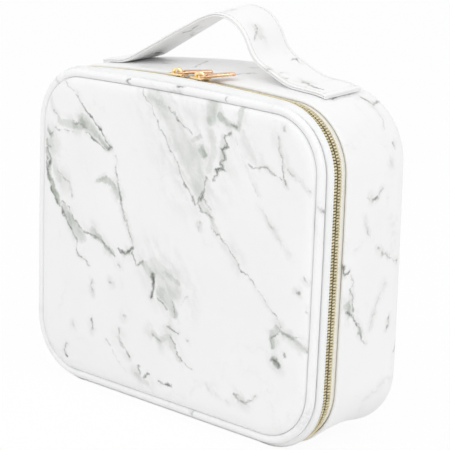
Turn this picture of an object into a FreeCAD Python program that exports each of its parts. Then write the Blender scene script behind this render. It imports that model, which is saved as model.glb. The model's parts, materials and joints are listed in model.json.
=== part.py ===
import FreeCAD, Part
import math
import os

# Soft makeup train case: padded walls, a padded front lid that unzips and swings down about the
# bottom edge, a strap handle on top, and movable dividers inside.
# Millimetres. +Z is up, the lid faces -Y and +X is to the right seen from the front.
# The origin is on the surface that the case stands on, under the middle of its box.

Vector = FreeCAD.Vector

# Overall size
case_width = 262.0
case_height = 227.0
case_depth = 88.0
corner_radius = 42.0
side_crown = 1.7
top_crown = 3.0
back_edge_radius = 14.0

# Wall layers, from the outside in
skin_thickness = 2.0
foam_thickness = 5.0
lining_thickness = 0.8
bond_gap = 0.1
seam_gap = 0.2
back_seam_margin = 4.0

# Front lid
panel_proud = 4.0
panel_skin = 1.4
panel_edge_radius = 5.0
lid_foam_thickness = 4.0
lid_board_thickness = 2.0
lid_depth = 9.0
piping_radius = 2.85
piping_wall = 0.75
piping_inset = 3.8
piping_set_back = 0.5
sewn_gap = 0.15
tape_root_angle = 48.0
lid_lining_inset = 5.2
lid_binding_width = 7.0
binding_thickness = 0.8

# Zip
zip_gap = 1.2
tooth_reach = 3.4
tooth_length = 1.2
tooth_pitch = 2.0
tooth_sunk = 0.2
stop_length = 4.0
stop_gap = 0.8
tape_thickness = 0.7
tape_slope_run = 2.4
tape_tuck = 9.0
edge_set_back = 6.0
rim_set_back = 1.0
rim_leg_length = 10.0

# Hinge strip along the bottom
hinge_margin = 1.5
strip_thickness = 1.4
strip_web = 1.4
fold_gap = 0.1
crease_radius = 0.6

# Handle strap: the underside follows these turns, given as distance along X and height above the
# top wall, and the ends lie sewn on the top wall
strap_thickness = 1.2
strap_width = 36.0
strap_lift = 0.3
handle_half_length = 98.5
left_take_off = -77.0
right_take_off = 73.0
crest_x = 20.2
crest_height = 44.5
slump_x = 40.8
slump_height = 13.0
take_off_radius = 34.0
crest_radius = 27.0
slump_radius = 23.0
patch_thickness = 1.0

# Zip sliders and their pulls
slider_left_x = -6.0
slider_right_x = 14.0
slider_length = 13.0
slider_lip = 1.0
slider_lip_gap = 0.25
slider_plate = 1.2
slider_sole_width = 7.0
slider_sole_length = 12.0
slide_clearance = 0.7
lip_clearance = 0.9
wedge_thickness = 0.7
wedge_length = 3.5
slider_corner_radius = 2.0
crown_length = 7.6
crown_width = 1.2
crown_height = 3.4
crown_bar = 1.1
crown_leg = 0.9
crown_round = 0.8
pull_yaw = 50.0
pull_length = 22.0
pull_thickness = 1.2
pull_arm = 1.2
pull_pin_radius = 0.6
pull_eye_length = 4.2
pull_end_radius = 1.6
pull_clearance = 0.3

# Dividers
divider_thickness = 6.0
divider_set_back = 7.7
divider_back_gap = 0.3
hook_thickness = 0.8
hook_gap = 0.1
hook_margin = 7.0
end_clearance = 0.3
long_divider_z = 113.0
short_divider_x = 42.0
short_divider_travel = 15.0

# Inside of the lid
elastic_loops = 7
elastic_pitch = 28.0
elastic_flat = 4.0
elastic_bulge = 7.0
elastic_thickness = 1.2
elastic_height = 35.0
elastic_z = 132.0
pocket_width = 196.0
pocket_height = 84.0
pocket_z = 24.0
pocket_thickness = 0.8
pocket_binding_height = 9.0

# Planes and insets worked out from those sizes
half_width = case_width / 2
front_y = -case_depth / 2
back_y = case_depth / 2
seam_y = front_y + panel_proud
zip_y = seam_y + lid_depth
edge_y = zip_y + edge_set_back
foam_inset = skin_thickness + bond_gap
lining_inset = foam_inset + foam_thickness + bond_gap
inside_inset = lining_inset + lining_thickness
tape_inset = foam_inset
tape_under = tape_inset + tape_thickness
back_seam_inset = back_edge_radius + back_seam_margin
piping_centre_inset = piping_inset + piping_radius
piping_y = seam_y + piping_set_back
panel_inset = piping_centre_inset + piping_radius + sewn_gap
lid_foam_y = front_y + panel_skin + bond_gap
lid_board_y = lid_foam_y + lid_foam_thickness + bond_gap
lid_lining_y = lid_board_y + lid_board_thickness + bond_gap
lid_inside_y = lid_lining_y + lining_thickness
rim_y = edge_y + rim_set_back
inside_back_y = back_y - inside_inset
row_start = zip_gap / 2
row_end = row_start + tooth_reach


def crown_radius(half_chord, rise):
    """Radius of an arc that rises this much over half its chord."""
    return (half_chord ** 2 + rise ** 2) / (2 * rise)


top_radius = crown_radius(half_width - corner_radius, top_crown)
side_radius = crown_radius(case_height / 2 - corner_radius, side_crown)
top_centre = (0.0, case_height - top_radius)
side_centre = (half_width - side_radius, case_height / 2)


def corner_between_crowns():
    """Centre of the upper corner arc, tangent inside to the top arc and the side arc."""
    from_top = top_radius - corner_radius
    from_side = side_radius - corner_radius
    dx = side_centre[0] - top_centre[0]
    dz = side_centre[1] - top_centre[1]
    apart = math.hypot(dx, dz)
    along = (from_top ** 2 - from_side ** 2 + apart ** 2) / (2 * apart)
    across = math.sqrt(from_top ** 2 - along ** 2)
    middle = (top_centre[0] + along * dx / apart, top_centre[1] + along * dz / apart)
    first = (middle[0] - across * dz / apart, middle[1] + across * dx / apart)
    second = (middle[0] + across * dz / apart, middle[1] - across * dx / apart)
    return max(first, second, key=lambda point: point[0] + point[1])


upper_corner = corner_between_crowns()
lower_corner_rise = corner_radius - side_centre[1]
lower_corner_reach = math.sqrt((side_radius - corner_radius) ** 2 - lower_corner_rise ** 2)
lower_corner = (side_centre[0] + lower_corner_reach, corner_radius)


def direction(centre, point):
    """Angle at which a point is seen from a centre."""
    return math.atan2(point[1] - centre[1], point[0] - centre[0])


side_start = direction(side_centre, lower_corner)
side_end = direction(side_centre, upper_corner)
top_start = direction(top_centre, upper_corner)


def right_half_arcs():
    """Arcs of the right half of the case outline, from the bottom upwards."""
    return [
        (lower_corner, corner_radius, -math.pi / 2, side_start),
        (side_centre, side_radius, side_start, side_end),
        (upper_corner, corner_radius, side_end, top_start),
        (top_centre, top_radius, top_start, math.pi / 2),
    ]


def on_arc(centre, radius, angle, y):
    return Vector(centre[0] + radius * math.cos(angle), y, centre[1] + radius * math.sin(angle))


def arc_edge(centre, radius, start, end, y):
    middle = (start + end) / 2
    points = [on_arc(centre, radius, angle, y) for angle in (start, middle, end)]
    return Part.Arc(*points).toShape()


def outline(inset, y):
    """Closed outline of the case seen from the front, moved inwards by an inset."""
    left = Vector(-lower_corner[0], y, inset)
    right = Vector(lower_corner[0], y, inset)
    edges = [Part.LineSegment(left, right).toShape()]
    arcs = right_half_arcs()
    for centre, radius, start, end in arcs[:-1]:
        edges.append(arc_edge(centre, radius - inset, start, end, y))
    edges.append(arc_edge(top_centre, top_radius - inset, top_start, math.pi - top_start, y))
    for centre, radius, start, end in reversed(arcs[:-1]):
        mirrored = (-centre[0], centre[1])
        edges.append(arc_edge(mirrored, radius - inset, math.pi - end, math.pi - start, y))
    return Part.Wire(edges)


def prism(inset, start_y, end_y):
    """Solid of the outline between two planes."""
    return Part.Face(outline(inset, start_y)).extrude(Vector(0, end_y - start_y, 0))


def edges_at(solid, y):
    """Edges that lie in the plane at this depth."""
    return [edge for edge in solid.Edges if abs(edge.BoundBox.YMin - y) < 1e-4
            and abs(edge.BoundBox.YMax - y) < 1e-4]


def rounded_prism(inset, flat_y, round_y, radius):
    """Solid of the outline with a rounded edge at one end."""
    solid = prism(inset, flat_y, round_y)
    return solid.makeFillet(radius, edges_at(solid, round_y))


def band(outer, inner, start_y, end_y):
    """Ring between two insets."""
    spare = 1.0
    return prism(outer, start_y, end_y).cut(prism(inner, start_y - spare, end_y + spare))


def tray(outer, thickness, open_y):
    """Shell that is open to the front, with a rounded back edge."""
    spare = 1.0
    outside = rounded_prism(outer, open_y, back_y - outer, back_edge_radius - outer)
    inner = outer + thickness
    inside = rounded_prism(inner, open_y - spare, back_y - inner, back_edge_radius - inner)
    return outside.cut(inside)


def box(x0, x1, y0, y1, z0, z1):
    return Part.makeBox(x1 - x0, y1 - y0, z1 - z0, Vector(x0, y0, z0))


def profile_along_x(points, x0, x1):
    """Solid with a section given as (y, z) points, between two X planes."""
    corners = [Vector(x0, y, z) for y, z in points]
    corners.append(corners[0])
    return Part.Face(Part.makePolygon(corners)).extrude(Vector(x1 - x0, 0, 0))


def path_length(inset):
    """Length of half the outline, from the middle of the bottom to the middle of the top."""
    arcs = sum((end - start) * (radius - inset) for _, radius, start, end in right_half_arcs())
    return lower_corner[0] + arcs


def on_path(distance, inset):
    """Place on the right half of the outline, and the angle that points outwards there."""
    if distance <= lower_corner[0]:
        return distance, inset, -math.pi / 2
    left = distance - lower_corner[0]
    arcs = right_half_arcs()
    for centre, radius, start, end in arcs:
        length = (end - start) * (radius - inset)
        if left <= length or centre is top_centre:
            angle = start + left / (radius - inset)
            point = on_arc(centre, radius - inset, angle, 0.0)
            return point.x, point.z, angle
        left -= length


def tooth(distance, length, side, mirrored):
    """Block that stands on the zip tape. Side is -1 on the lid and 1 on the body."""
    x, z, angle = on_path(distance, tape_inset)
    if mirrored:
        x = -x
        angle = math.pi - angle
    near, far = sorted((side * row_start, side * row_end))
    block = Part.makeBox(length, far - near, tape_inset - tooth_sunk, Vector(-length / 2, near, 0))
    turn = FreeCAD.Rotation(Vector(0, 1, 0), 90 - math.degrees(angle))
    block.Placement = FreeCAD.Placement(Vector(x, zip_y, z), turn)
    return block


hinge_half = lower_corner[0] - hinge_margin
zip_start = hinge_half + stop_gap + stop_length + stop_gap


def zip_row(side):
    """Teeth of one side of the zip, from one bottom corner up and over to the other."""
    run = path_length(tape_inset) - zip_start
    count = int(run / tooth_pitch)
    pitch = run / count
    stagger = 0.25 * side
    teeth = []
    for index in range(count):
        distance = zip_start + (index + 0.5) * pitch
        teeth.append(tooth(distance + stagger * pitch, tooth_length, side, False))
        teeth.append(tooth(distance - stagger * pitch, tooth_length, side, True))
    return Part.makeCompound(teeth)


def zip_stops(side):
    """Stop at each end of one side of the zip."""
    distance = hinge_half + stop_gap + stop_length / 2
    return Part.makeCompound([tooth(distance, stop_length, side, mirrored) for mirrored in (False, True)])


tape_root_reach = piping_radius + sewn_gap
tape_root_inner = piping_centre_inset - tape_root_reach * math.cos(math.radians(tape_root_angle))
tape_root_inset = tape_root_inner - tape_thickness
tape_root_y = piping_y + tape_root_reach * math.sin(math.radians(tape_root_angle))
tape_flat_y = tape_root_y + tape_slope_run


def hinge_notch(clearance):
    """Space of the hinge strip, which the zip tape leaves free."""
    reach = hinge_half + clearance
    return box(-reach, reach, front_y, back_y, -1.0, corner_radius / 2)


def zip_tape_lid():
    """Woven tape from the piping to the teeth, sloping up to the level of the wall."""
    stations = [(tape_root_inset, tape_root_y), (tape_inset, tape_flat_y), (tape_inset, zip_y - row_start)]
    outside = Part.makeLoft([outline(inset, y) for inset, y in stations], True, True)
    inside = Part.makeLoft([outline(inset + tape_thickness, y) for inset, y in stations], True, True)
    return outside.cut(inside).cut(hinge_notch(seam_gap))


def zip_tape_body():
    """Woven tape from the teeth to under the edge of the wall."""
    ring = band(tape_inset, tape_under, zip_y + row_start, edge_y + tape_tuck)
    return ring.cut(hinge_notch(seam_gap))


def crease():
    """Round of the fold on the hinge axis."""
    return Part.makeCylinder(crease_radius, 2 * half_width, Vector(-half_width, zip_y, 0), Vector(1, 0, 0))


def hinge_strip_lid():
    """Half of the leather hinge that runs from the piping down to the fold."""
    slope_y = tape_flat_y - tape_root_y
    length = math.hypot(slope_y, tape_root_inset)
    across_y = strip_thickness * tape_root_inset / length
    across_z = strip_thickness * slope_y / length
    fold_y = zip_y - fold_gap
    inner_slope_y = tape_root_y + across_y
    inner_slope_z = tape_root_inset + across_z
    inner_corner_y = inner_slope_y + (inner_slope_z - strip_thickness) * slope_y / tape_root_inset
    section = [
        (tape_root_y, tape_root_inset),
        (tape_flat_y, 0.0),
        (fold_y, 0.0),
        (fold_y, strip_thickness),
        (inner_corner_y, strip_thickness),
        (inner_slope_y, inner_slope_z),
    ]
    return profile_along_x(section, -hinge_half, hinge_half).cut(crease())


def hinge_strip_body():
    """Half of the leather hinge that runs from the fold to under the edge of the wall."""
    fold_y = zip_y + fold_gap
    meet_y = edge_y - bond_gap
    tuck_y = edge_y + tape_tuck
    under = tape_inset
    section = [
        (fold_y, 0.0),
        (meet_y, 0.0),
        (meet_y, under),
        (tuck_y, under),
        (tuck_y, under + strip_thickness),
        (meet_y - strip_web, under + strip_thickness),
        (meet_y - strip_web, strip_thickness),
        (fold_y, strip_thickness),
    ]
    return profile_along_x(section, -hinge_half, hinge_half).cut(crease())


def outer_walls():
    """Wall skin with its rounded back edge, and the back panel sewn into it."""
    shell = tray(0.0, skin_thickness, edge_y)
    behind = back_y - skin_thickness - bond_gap
    spare = 1.0
    gusset = shell.cut(prism(back_seam_inset, behind, back_y + spare))
    panel = shell.common(prism(back_seam_inset + seam_gap, behind, back_y + spare))
    return gusset, panel


def foam_walls():
    """Foam of the walls and of the back, recessed where the tape and hinge strip are sewn in."""
    spare = 1.0
    shell = tray(foam_inset, foam_thickness, rim_y)
    behind = back_y - foam_inset - foam_thickness - bond_gap
    wall = shell.cut(prism(back_seam_inset, behind, back_y))
    board = shell.common(prism(back_seam_inset + seam_gap, behind, back_y))
    tuck_y = edge_y + tape_tuck + bond_gap
    wall = wall.cut(band(foam_inset - spare, tape_under + bond_gap, rim_y - spare, tuck_y))
    reach = hinge_half + seam_gap
    strip_top = tape_inset + strip_thickness + bond_gap
    wall = wall.cut(box(-reach, reach, rim_y - spare, tuck_y, 0.0, strip_top))
    return wall, board


def rim_binding():
    """Binding that covers the front edge of foam and lining and turns onto the lining."""
    face_outer = tape_inset + max(tape_thickness, strip_thickness) + bond_gap
    inner = inside_inset + bond_gap + binding_thickness
    face_end = rim_y - bond_gap
    face = band(face_outer, inner, face_end - binding_thickness, face_end)
    leg = band(inside_inset + bond_gap, inner, face_end, face_end + rim_leg_length)
    return face.fuse(leg).removeSplitter()


def lid_panel():
    """Outer leather of the lid, a shallow pan with a rounded edge, open to the inside."""
    spare = 1.0
    outside = rounded_prism(panel_inset, lid_board_y - bond_gap, front_y, panel_edge_radius)
    inner = panel_inset + panel_skin
    inside = rounded_prism(inner, lid_board_y + spare, front_y + panel_skin, panel_edge_radius - panel_skin)
    return outside.cut(inside)


def lid_foam():
    inset = panel_inset + panel_skin + bond_gap
    radius = panel_edge_radius - panel_skin - bond_gap
    return rounded_prism(inset, lid_foam_y + lid_foam_thickness, lid_foam_y, radius)


def ring_tube(radius):
    """Round tube or cord that follows the outline beside the lid panel."""
    path = outline(piping_centre_inset, piping_y)
    start = Vector(-lower_corner[0], piping_y, piping_centre_inset)
    circle = Part.Wire(Part.makeCircle(radius, start, Vector(1, 0, 0)))
    return path.makePipeShell([circle], True, True)


def fillet_points(route, offset):
    """Edges of a path through turns, moved sideways by an offset. A turn is (x, z, radius)."""
    count = len(route)
    headings = []
    for (x0, z0, _), (x1, z1, _) in zip(route, route[1:]):
        headings.append(math.atan2(z1 - z0, x1 - x0))
    corners = []
    for index, (x, z, radius) in enumerate(route):
        before = headings[max(index - 1, 0)]
        after = headings[min(index, count - 2)]
        turn = after - before
        normal = (before + after) / 2 + math.pi / 2
        reach = offset / math.cos(turn / 2)
        bend = radius - offset if turn > 0 else radius + offset
        corners.append((x + reach * math.cos(normal), z + reach * math.sin(normal), before, turn, bend))
    edges = []
    last = Vector(corners[0][0], 0, corners[0][1])
    for x, z, before, turn, bend in corners[1:-1]:
        cut_back = bend * math.tan(abs(turn) / 2)
        after = before + turn
        start = Vector(x - cut_back * math.cos(before), 0, z - cut_back * math.sin(before))
        end = Vector(x + cut_back * math.cos(after), 0, z + cut_back * math.sin(after))
        sagitta = bend / math.cos(turn / 2) - bend
        inward = (before + after) / 2 + math.copysign(math.pi / 2, turn)
        middle = Vector(x + sagitta * math.cos(inward), 0, z + sagitta * math.sin(inward))
        edges.append(Part.LineSegment(last, start).toShape())
        edges.append(Part.Arc(start, middle, end).toShape())
        last = end
    edges.append(Part.LineSegment(last, Vector(corners[-1][0], 0, corners[-1][1])).toShape())
    return edges


def on_top(x):
    """Height of the top wall and its slope at this X, raised by the strap's lift."""
    centre, radius = top_centre, top_radius
    corner_start = upper_corner[0] + corner_radius * math.cos(top_start)
    if abs(x) > corner_start:
        centre, radius = upper_corner, corner_radius
    rise = math.sqrt((radius + strap_lift) ** 2 - (abs(x) - centre[0]) ** 2)
    slope = -math.copysign((abs(x) - centre[0]) / rise, x)
    return centre[1] + rise, slope


def sewn_end(end_x, take_off_x):
    """End of the strap on the wall, and the turn where it starts to follow the corner."""
    end_z, end_slope = on_top(end_x)
    off_z, off_slope = on_top(take_off_x)
    meet_x = (off_z - end_z + end_slope * end_x - off_slope * take_off_x) / (end_slope - off_slope)
    meet_z = end_z + end_slope * (meet_x - end_x)
    return (end_x, end_z, 0.0), (meet_x, meet_z, corner_radius + strap_lift), (take_off_x, off_z, take_off_radius)


def handle_route():
    """Turns of the underside of the handle, from its left end to its right end."""
    left_end, left_bend, left_rise = sewn_end(-handle_half_length, left_take_off)
    right_end, right_bend, right_rise = sewn_end(handle_half_length, right_take_off)
    crest = (crest_x, case_height + crest_height, crest_radius)
    slump = (slump_x, case_height + slump_height, slump_radius)
    return [left_end, left_bend, left_rise, crest, slump, right_rise, right_bend, right_end]


strap_y = (edge_y + back_y) / 2 - strap_width / 2


def strap(lower, upper):
    """Layer of the handle between two heights over its underside."""
    below = fillet_points(handle_route(), lower)
    above = fillet_points(handle_route(), upper)
    starts = [side[0].valueAt(side[0].FirstParameter) for side in (below, above)]
    ends = [side[-1].valueAt(side[-1].LastParameter) for side in (below, above)]
    caps = [Part.LineSegment(*pair).toShape() for pair in (starts, ends)]
    wire = Part.Wire(Part.__sortEdges__(below + above + caps))
    layer = Part.Face(wire).extrude(Vector(0, strap_width, 0))
    layer.translate(Vector(0, strap_y, 0))
    return layer


def handle_patches():
    """Patches on the lining behind the sewn ends of the handle."""
    start = inside_inset + bond_gap
    ring = band(start, start + patch_thickness, strap_y, strap_y + strap_width)
    height = case_height / 2
    left = ring.common(box(-handle_half_length, left_take_off, front_y, back_y, height, case_height))
    right = ring.common(box(right_take_off, handle_half_length, front_y, back_y, height, case_height))
    return Part.makeCompound([left, right])


def top_inside(x):
    """Height of the lining under the top wall at this X."""
    return top_centre[1] + math.sqrt((top_radius - inside_inset) ** 2 - x ** 2)


def side_inside(z):
    """Half the width between the linings of the side walls at this height."""
    return side_centre[0] + math.sqrt((side_radius - inside_inset) ** 2 - (z - side_centre[1]) ** 2)


divider_back = inside_back_y - divider_back_gap
divider_front = rim_y + divider_set_back
divider_corner_radius = back_edge_radius - inside_inset
hook_front = divider_front + hook_margin
hook_back = divider_back - hook_margin
end_space = end_clearance + hook_thickness + hook_gap


def divider_panel(x0, x1, z0, z1):
    """Flat divider whose back corners are rounded where the lining turns from the walls to the back."""
    panel = box(x0, x1, divider_front, divider_back, z0, z1)
    lengthwise = x1 - x0 > z1 - z0
    corners = []
    for edge in panel.Edges:
        span = edge.BoundBox
        across = span.ZLength if lengthwise else span.XLength
        if across > divider_thickness / 2 and abs(span.YMin - divider_back) < 1e-4:
            at_end = span.XLength < 1e-4 if lengthwise else span.ZLength < 1e-4
            if at_end:
                corners.append(edge)
    return panel.makeFillet(divider_corner_radius, corners)


def long_divider():
    """Divider across the whole width, with a hook strip at each end."""
    low = long_divider_z - divider_thickness / 2
    high = long_divider_z + divider_thickness / 2
    reach = min(side_inside(low), side_inside(high)) - end_space
    panel = divider_panel(-reach, reach, low, high)
    hooks = []
    for side in (-1, 1):
        near, far = sorted((side * (reach + hook_gap), side * (reach + hook_gap + hook_thickness)))
        hooks.append(box(near, far, hook_front, hook_back, low, high))
    return panel, Part.makeCompound(hooks)


def short_divider(x, low, high):
    """Upright divider between two surfaces, with a hook strip at each end."""
    left = x - divider_thickness / 2
    right = x + divider_thickness / 2
    bottom = low + end_space
    top = high - end_space
    panel = divider_panel(left, right, bottom, top)
    hooks = []
    for start in (bottom - hook_gap - hook_thickness, top + hook_gap):
        hooks.append(box(left, right, hook_front, hook_back, start, start + hook_thickness))
    return panel, Part.makeCompound(hooks)


def brush_elastic():
    """Elastic band sewn to the lid lining in loops for brushes."""
    base_y = lid_inside_y + bond_gap
    chord = elastic_pitch - elastic_flat
    radius = crown_radius(chord / 2, elastic_bulge)
    inner = radius - elastic_thickness
    length = elastic_loops * elastic_pitch + elastic_flat
    low = elastic_z
    high = elastic_z + elastic_height
    strip = box(-length / 2, length / 2, base_y, base_y + elastic_thickness, low, high)
    front_half = box(-length, length, base_y, base_y + 2 * radius, low, high)
    for index in range(elastic_loops):
        x = (index - (elastic_loops - 1) / 2) * elastic_pitch
        centre = Vector(x, base_y + elastic_bulge - radius, low)
        strip = strip.fuse(Part.makeCylinder(radius, elastic_height, centre).common(front_half))
    for index in range(elastic_loops):
        x = (index - (elastic_loops - 1) / 2) * elastic_pitch
        centre = Vector(x, base_y + elastic_bulge - radius, low)
        strip = strip.cut(Part.makeCylinder(inner, elastic_height, centre).common(front_half))
    return strip.removeSplitter()


def lid_pocket():
    """Flat slip pocket on the lid lining and the binding along its mouth."""
    base_y = lid_inside_y + bond_gap
    half = pocket_width / 2
    front = base_y + pocket_thickness
    panel = box(-half, half, base_y, front, pocket_z, pocket_z + pocket_height)
    mouth = pocket_z + pocket_height
    binding = box(-half, half, front + bond_gap, front + bond_gap + binding_thickness,
                  mouth - pocket_binding_height, mouth)
    return panel, binding


slider_half_width = row_end + slider_lip_gap + slider_lip
plate_floor = slide_clearance - tooth_sunk
plate_top = plate_floor + slider_plate
pin_height = plate_top + pull_clearance + pull_pin_radius
yaw_cos = math.cos(math.radians(pull_yaw))
yaw_sin = math.sin(math.radians(pull_yaw))
pin_reach = (pull_pin_radius + crown_width / 2 * yaw_sin) / yaw_cos
pin_x = crown_length / 2 - crown_leg - pull_clearance - pin_reach
eye_half_width = (crown_length / 2 - pin_x + pull_clearance) * yaw_sin + crown_width / 2 * yaw_cos
pull_width = 2 * (eye_half_width + pull_arm)


def wall_height(x):
    """Height of the outside of the top wall at this X."""
    return top_centre[1] + math.sqrt(top_radius ** 2 - x ** 2)


def slider(x, nose):
    """Zip slider: a plate over the teeth, a sole under the tape and the wedge that joins them.
    Nose is the direction along X in which it closes the zip."""
    half = slider_length / 2
    plate = box(-half, half, -slider_half_width, slider_half_width, plate_floor, plate_top)
    corners = [edge for edge in plate.Edges if edge.BoundBox.ZLength > slider_plate / 2]
    plate = plate.makeFillet(slider_corner_radius, corners)
    sole_top = -tape_under - slide_clearance
    sole = box(-slider_sole_length / 2, slider_sole_length / 2, -slider_sole_width / 2,
               slider_sole_width / 2, sole_top - slider_plate, sole_top)
    wedge_end = nose * slider_sole_length / 2
    near, far = sorted((wedge_end, wedge_end - nose * wedge_length))
    wedge = box(near, far, -wedge_thickness / 2, wedge_thickness / 2, sole_top, plate_floor)
    lip_reach = half - slider_corner_radius
    lip = box(-lip_reach, lip_reach, slider_half_width - slider_lip, slider_half_width,
              lip_clearance - tape_inset, plate_floor)
    body = plate.fuse([sole, wedge, lip]).removeSplitter()
    body.translate(Vector(x, zip_y, wall_height(x)))
    return body


def slider_crown(x):
    """Bridge on the slider that holds the pull."""
    half = crown_length / 2
    block = box(-half, half, -crown_width / 2, crown_width / 2, plate_top, plate_top + crown_height)
    peak = plate_top + crown_height
    ends = [edge for edge in block.Edges
            if abs(edge.BoundBox.ZMin - peak) < 1e-4 and edge.BoundBox.YLength > crown_width / 2]
    block = block.makeFillet(crown_round, ends)
    opening = box(crown_leg - half, half - crown_leg, -crown_width, crown_width, plate_top, peak - crown_bar)
    bridge = block.cut(opening)
    bridge.translate(Vector(x, zip_y, wall_height(x)))
    return bridge


def pull(x):
    """Flat zip pull with an open eye and a round pin that turns in the slider's bridge."""
    half = pull_width / 2
    thick = pull_thickness / 2
    plate = box(0, pull_length, -half, half, -thick, thick)
    tip = [edge for edge in plate.Edges
           if abs(edge.BoundBox.XMin - pull_length) < 1e-4 and edge.BoundBox.ZLength > thick]
    plate = plate.makeFillet(pull_end_radius, tip)
    eye = box(-1.0, pull_eye_length, pull_arm - half, half - pull_arm, -1.0, 1.0)
    pin = Part.makeCylinder(pull_pin_radius, pull_width, Vector(0, -half, 0), Vector(0, 1, 0))
    body = plate.cut(eye).fuse(pin).removeSplitter()
    body.rotate(Vector(0, 0, 0), Vector(0, 0, 1), pull_yaw)
    body.translate(Vector(x + pin_x, zip_y, wall_height(x) + pin_height))
    return body


def all_pieces():
    """Every piece of the case by its name."""
    pieces = {}
    pieces["body_gusset"], pieces["back_panel"] = outer_walls()
    pieces["wall_foam"], pieces["back_board"] = foam_walls()
    pieces["body_lining"] = tray(lining_inset, lining_thickness, rim_y)
    pieces["rim_binding"] = rim_binding()
    pieces["zip_tape_body"] = zip_tape_body()
    pieces["zip_teeth_body"] = zip_row(1)
    pieces["zip_stops_body"] = zip_stops(1)
    pieces["hinge_strip_body"] = hinge_strip_body()
    pieces["handle_inner_strap"] = strap(0.0, strap_thickness)
    pieces["handle_outer_strap"] = strap(strap_thickness + bond_gap, 2 * strap_thickness + bond_gap)
    pieces["handle_patches"] = handle_patches()
    pieces["long_divider"], pieces["long_divider_hooks"] = long_divider()
    under = long_divider_z - divider_thickness / 2
    over = long_divider_z + divider_thickness / 2
    outermost = short_divider_x + short_divider_travel + divider_thickness / 2
    for side, x in (("left", -short_divider_x), ("right", short_divider_x)):
        for level, low, high in (("lower", inside_inset, under), ("upper", over, top_inside(outermost))):
            name = level + "_divider_" + side
            pieces[name], pieces[name + "_hooks"] = short_divider(x, low, high)
    pieces["lid_front_panel"] = lid_panel()
    pieces["lid_foam"] = lid_foam()
    pieces["lid_board"] = prism(panel_inset, lid_board_y, lid_board_y + lid_board_thickness)
    pieces["lid_piping"] = ring_tube(piping_radius).cut(ring_tube(piping_radius - piping_wall))
    pieces["lid_piping_cord"] = ring_tube(piping_radius - piping_wall - bond_gap)
    pieces["lid_lining"] = prism(lid_lining_inset, lid_lining_y, lid_inside_y)
    binding_y = lid_inside_y + bond_gap
    pieces["lid_binding"] = band(lid_lining_inset, lid_lining_inset + lid_binding_width,
                                 binding_y, binding_y + binding_thickness)
    pieces["zip_tape_lid"] = zip_tape_lid()
    pieces["zip_teeth_lid"] = zip_row(-1)
    pieces["zip_stops_lid"] = zip_stops(-1)
    pieces["hinge_strip_lid"] = hinge_strip_lid()
    pieces["brush_elastic"] = brush_elastic()
    pieces["lid_pocket"], pieces["lid_pocket_binding"] = lid_pocket()
    for side, x, nose in (("left", slider_left_x, 1), ("right", slider_right_x, -1)):
        pieces["slider_" + side] = slider(x, nose)
        pieces["slider_crown_" + side] = slider_crown(x)
        pieces["zip_pull_" + side] = pull(x)
    return pieces


def write_pieces():
    os.makedirs("parts", exist_ok=True)
    for name, shape in all_pieces().items():
        shape.exportStep("parts/" + name + ".step")
        size = shape.BoundBox
        print("%-26s %4d solids %10.1f mm3 valid %s  x %.1f..%.1f y %.1f..%.1f z %.1f..%.1f" % (
            name, len(shape.Solids), shape.Volume, shape.isValid(),
            size.XMin, size.XMax, size.YMin, size.YMax, size.ZMin, size.ZMax))


write_pieces()
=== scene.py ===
# %% [markdown]
# # A soft make-up train case
# The case is a padded shell of glossy artificial leather printed with grey marble veins. A padded lid
# closes the whole front, a gold zip runs round three sides of it and a leather strip hinges it along the
# bottom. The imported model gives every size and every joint, so each piece here is laid over the solid
# that it stands for, in metres, and rides on the same body.

# %% Load the frame
import json
import math
import bmesh
import bpy
from mathutils import Matrix, Quaternion, Vector
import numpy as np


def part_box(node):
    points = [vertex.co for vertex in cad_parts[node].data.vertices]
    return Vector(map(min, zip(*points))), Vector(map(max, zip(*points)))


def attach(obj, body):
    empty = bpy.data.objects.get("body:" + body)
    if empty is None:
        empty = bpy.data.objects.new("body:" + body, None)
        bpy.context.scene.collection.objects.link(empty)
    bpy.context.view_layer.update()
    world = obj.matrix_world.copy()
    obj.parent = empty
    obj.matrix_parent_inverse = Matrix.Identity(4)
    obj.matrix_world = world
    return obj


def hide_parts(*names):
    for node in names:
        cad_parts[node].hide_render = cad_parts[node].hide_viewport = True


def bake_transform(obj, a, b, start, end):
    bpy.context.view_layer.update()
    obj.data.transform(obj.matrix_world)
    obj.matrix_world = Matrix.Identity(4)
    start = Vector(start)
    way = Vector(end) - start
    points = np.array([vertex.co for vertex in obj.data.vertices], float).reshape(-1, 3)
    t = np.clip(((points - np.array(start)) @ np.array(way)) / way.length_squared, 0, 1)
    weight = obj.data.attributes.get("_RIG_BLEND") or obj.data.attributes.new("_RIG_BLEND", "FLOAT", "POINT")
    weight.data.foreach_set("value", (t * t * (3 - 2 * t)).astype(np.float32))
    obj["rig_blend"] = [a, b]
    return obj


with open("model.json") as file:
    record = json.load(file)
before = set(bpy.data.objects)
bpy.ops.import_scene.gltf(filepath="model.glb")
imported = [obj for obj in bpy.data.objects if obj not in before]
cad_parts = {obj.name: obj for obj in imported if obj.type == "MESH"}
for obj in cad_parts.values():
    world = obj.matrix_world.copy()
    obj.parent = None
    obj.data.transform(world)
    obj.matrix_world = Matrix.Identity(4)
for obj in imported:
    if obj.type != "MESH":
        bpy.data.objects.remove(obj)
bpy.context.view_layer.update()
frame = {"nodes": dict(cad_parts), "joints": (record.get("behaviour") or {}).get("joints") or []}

mm = 0.001

# %% [markdown]
# ## The outline of the case
# Seen from the front the case is a rectangle with large round corners whose sides and top bulge a little.
# Nearly every piece follows that outline: walls, piping, tapes, bindings and linings are the same line
# moved inwards. One formula for the line, made of a straight bottom and tangent arcs, therefore places
# them all, and pieces that touch on the real case touch here as well. The case is soft, so towards its
# back the handle pulls the top up into a low dome, the sides sag and the lower corners give way. Behind
# the lid's edge the ends of the top droop a little. A second formula settles every place in that way.

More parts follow.
